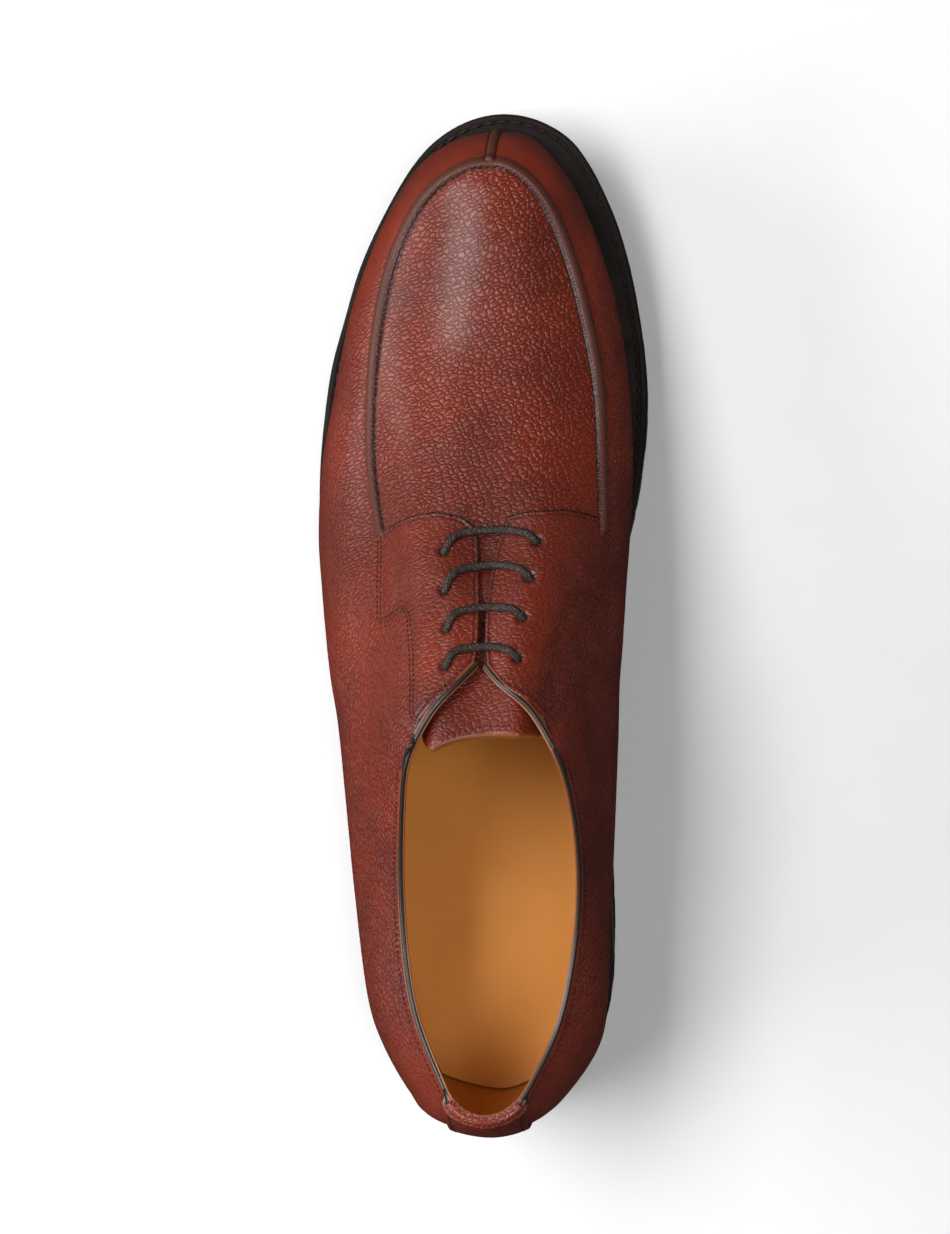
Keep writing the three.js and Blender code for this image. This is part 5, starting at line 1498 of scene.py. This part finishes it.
lace_corners = []
radius = LACE_DIAMETER / 2 * LACE_DRAWN
for step, k in enumerate((3, 2, 1, 0)):
    outer_hole = np.array([THROAT_CENTRE + HOLES[k, 1], HOLES[k, 0] * SOLE_LENGTH])
    inner_hole = np.array([THROAT_CENTRE + HOLES[k, 3], HOLES[k, 2] * SOLE_LENGTH])
    t = BOW_SHAPE[:, 0]
    bar = outer_hole + t[:, None] * (inner_hole - outer_hole)
    bar[:, 1] += LACE_BOWS[k] * BOW_SHAPE[:, 1]
    top, normals = facing_top(bar)
    top -= normals * FACING_LIFT
    normals = unit(normals[:1] * (1 - t[:, None]) + normals[-1:] * t[:, None])
    top += normals * FACING_LIFT
    lift = np.full(len(t), radius * 0.95)
    lift[[0, -1]] = -FACING_LIFT * 0.6
    lift[[1, -2]] = radius * 0.75
    bar_points = top + normals * lift[:, None]
    entry = lay_on_form(np.array([outer_hole, inner_hole]))
    under = [entry[0][i] - entry[1][i] * 1.0 for i in (0, 1)]
    run = np.vstack([under[0], bar_points, under[1]])
    lace_corners.append(run if step % 2 == 0 else run[::-1])
lace_path = smooth_path(np.vstack(lace_corners), 900)
print("lace in the shoe, mm:", round(float(arc_length(lace_path)[-1])))
rings, lace_faces = tube(lace_path, radius, 16)
run = np.broadcast_to(arc_length(lace_path)[:, None], rings.shape[:2])
turn = np.broadcast_to(np.abs(np.linspace(-1, 1, rings.shape[1], endpoint=False))[None], rings.shape[:2])
make_piece("lace", rings, [lace_faces], WAXED_LACE,
           ["lace_bar_1", "lace_bar_2", "lace_bar_3", "lace_bar_4"], {"run": run, "turn": turn}, sharp=80)

# %% [markdown]
# ## Welt, midsole and tread
# The sole's layers follow one outline and one set of heights. The welt's cross-section is carried round
# the outline: its outer edge is rounded, and a shallow groove on top holds the long stitches that join it
# to the sole.
# %% Layers of the sole
def loop_inset(loop, distance):
    """A closed plan line moved inwards by a distance, or by one distance for each point."""
    heading = unit(np.roll(loop, -1, axis=0) - np.roll(loop, 1, axis=0))
    inward = np.stack([-heading[:, 1], heading[:, 0]], axis=1)
    return loop + inward * np.reshape(distance, (-1, 1))


def ring_band(loop, profile, base):
    """A profile of (inset, height) pairs carried round a loop, its heights added to the base's there."""
    rings = []
    for inward, rise in profile:
        line = loop_inset(loop, inward)
        rings.append(np.column_stack([line, base(line[:, 1]) + rise]))
    return np.stack(rings, axis=1)


# %% Welt
WELT_WIDE = 15.0
WELT_PROFILE = [
    # mm in from the edge, mm over the welt's top, painted shade in the groove
    (WELT_WIDE, 0.0, 0), (7.5, 0.0, 0), (5.5, 0.0, 0), (4.4, -0.02, 0), (3.5, -0.05, 0.3), (3.0, -0.25, 0.9),
    (2.6, -0.35, 1), (2.2, -0.25, 0.9), (1.7, -0.05, 0.3), (1.1, -0.08, 0), (0.6, -0.25, 0), (0.25, -0.6, 0),
    (0.08, -1.1, 0), (0.1, -1.9, 0), (0.3, -2.45, 0), (0.7, -WELT, 0), (WELT_WIDE, -WELT, 0),
]
welt_profile = [(inward, rise) for inward, rise, _ in WELT_PROFILE]
groove_shade = np.array([painted_groove_shade for _, _, painted_groove_shade in WELT_PROFILE])
welt_rings = ring_band(SOLE_LOOP, welt_profile, welt_top)
welt_faces = grid_faces(len(SOLE_LOOP), len(welt_profile), close_columns=True, close_rows=True)
welt_edge = np.zeros(welt_rings.shape[:2])
make_piece("welt_strip", welt_rings, [welt_faces], SOLE_EDGE, ["welt"],
           {"edge": welt_edge, "seam": np.broadcast_to(groove_shade, welt_rings.shape[:2])})

stitch_loop = loop_inset(SOLE_LOOP, 2.6)
closed_stitches = np.vstack([stitch_loop, stitch_loop[:1]])
welt_line = np.column_stack([closed_stitches, welt_top(closed_stitches[:, 1]) - 0.25])
sew("welt_stitches", [(welt_line, np.tile([0.0, 0.0, 1.0], (len(welt_line), 1)), 4.2, 3.3, 0.5)],
    THREAD)

# %% Midsole
MID_WIDE = 20.0


def midsole_top(y):
    """Height of the midsole's upper face: the welt's top less the welt and a hair's gap."""
    return welt_top(y) - WELT - GAP


mid_profile = [(MID_WIDE, 0.0), (1.1, 0.0), (0.7, -0.25), (0.6, -0.8), (0.6, -MIDSOLE + 0.8),
               (0.7, -MIDSOLE + 0.25), (1.1, -MIDSOLE), (MID_WIDE, -MIDSOLE)]
mid_rings = ring_band(SOLE_LOOP, mid_profile, midsole_top)
mid_faces = grid_faces(len(SOLE_LOOP), len(mid_profile), close_columns=True, close_rows=True)
zero = np.zeros(mid_rings.shape[:2])
make_piece("midsole_layer", mid_rings, [mid_faces], EDGE_LINE, ["midsole"],
           {"edge": zero, "seam": zero})

# %% [markdown]
# The tread and the heel keep their solid form: lugs, notches, stars and breast are all there. A copy of
# each solid, merged and with its edges rounded over by a fine bevel, takes the light as moulded rubber
# does.
# %% Outsole and heel
def moulded_copy(name, source, width, material):
    """A copy of a solid with merged points and its sharp edges rounded by a bevel."""
    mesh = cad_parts[source].data.copy()
    mesh.name = name
    weld(mesh, 0.00002)
    work = bmesh.new()
    work.from_mesh(mesh)
    bmesh.ops.dissolve_limit(work, angle_limit=math.radians(1.0), verts=work.verts, edges=work.edges)
    limit = math.radians(30)
    sharp = [edge for edge in work.edges if len(edge.link_faces) == 2 and edge.calc_face_angle(0) > limit]
    bmesh.ops.bevel(work, geom=sharp, offset=width * MM, segments=2, profile=0.6, affect="EDGES",
                    clamp_overlap=True)
    bmesh.ops.triangulate(work, faces=[face for face in work.faces if len(face.verts) > 4])
    work.to_mesh(mesh)
    work.free()
    mesh.shade_smooth()
    mesh.set_sharp_from_angle(angle=math.radians(35))
    mesh.materials.clear()
    mesh.materials.append(material)
    for key in ("edge", "seam"):
        mesh.attributes.new(key, "FLOAT", "POINT")
    piece = bpy.data.objects.new(name, mesh)
    bpy.context.scene.collection.objects.link(piece)
    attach(piece, "root")
    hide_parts(source)
    print(f"{name}: {len(mesh.vertices)} points, {len(mesh.polygons)} faces")
    return piece


moulded_copy("outsole_tread", "outsole", 0.35, RUBBER)
moulded_copy("heel_block", "heel", 0.35, RUBBER)

# %% [markdown]
# ## Insole
# Inside lies a tan leather insole, slightly dished, with its edge running up to the lining.
# %% Insole
SPOKES, RINGS = 500, 26
feather = np.vstack([guide_line("feather", 1, np.linspace(0, LAST_SECTION, 300)),
                     guide_line("feather", -1, np.linspace(0, LAST_SECTION, 300)[::-1][1:-1])])
feather_loop = even_loop(feather[:, :2], SPOKES)
middle_x = np.interp(feather_loop[:, 1], [0, 60, 150, 310], [2.5, 1.0, -1.0, 3.0])
spokes = []
for share in np.linspace(0, 1, RINGS) ** 0.8:
    edge = loop_inset(feather_loop, LINED + 0.1)
    axis = np.column_stack([middle_x, np.clip(edge[:, 1], 26, 285)])
    line = axis + (edge - axis) * share
    dish = 0.9 * (share ** 3) - 0.5
    spokes.append(np.column_stack([line, welt_top(line[:, 1]) - WELT + INSOLE_THICKNESS + dish]))
insole_grid = np.stack(spokes, axis=1)
flat_mark = np.zeros(insole_grid.shape[:2])
insole_faces = grid_faces(SPOKES, RINGS, close_columns=True, flip=True)
make_piece("insole_leather", insole_grid, [insole_faces], INSOLE_TAN, ["insole"],
           {"edge": flat_mark, "seam": flat_mark})

# %% [markdown]
# ## The end
# The scene is brought up to date. The dressed shoe has to stay inside the box of its solids.
# %% Update
bpy.context.view_layer.update()
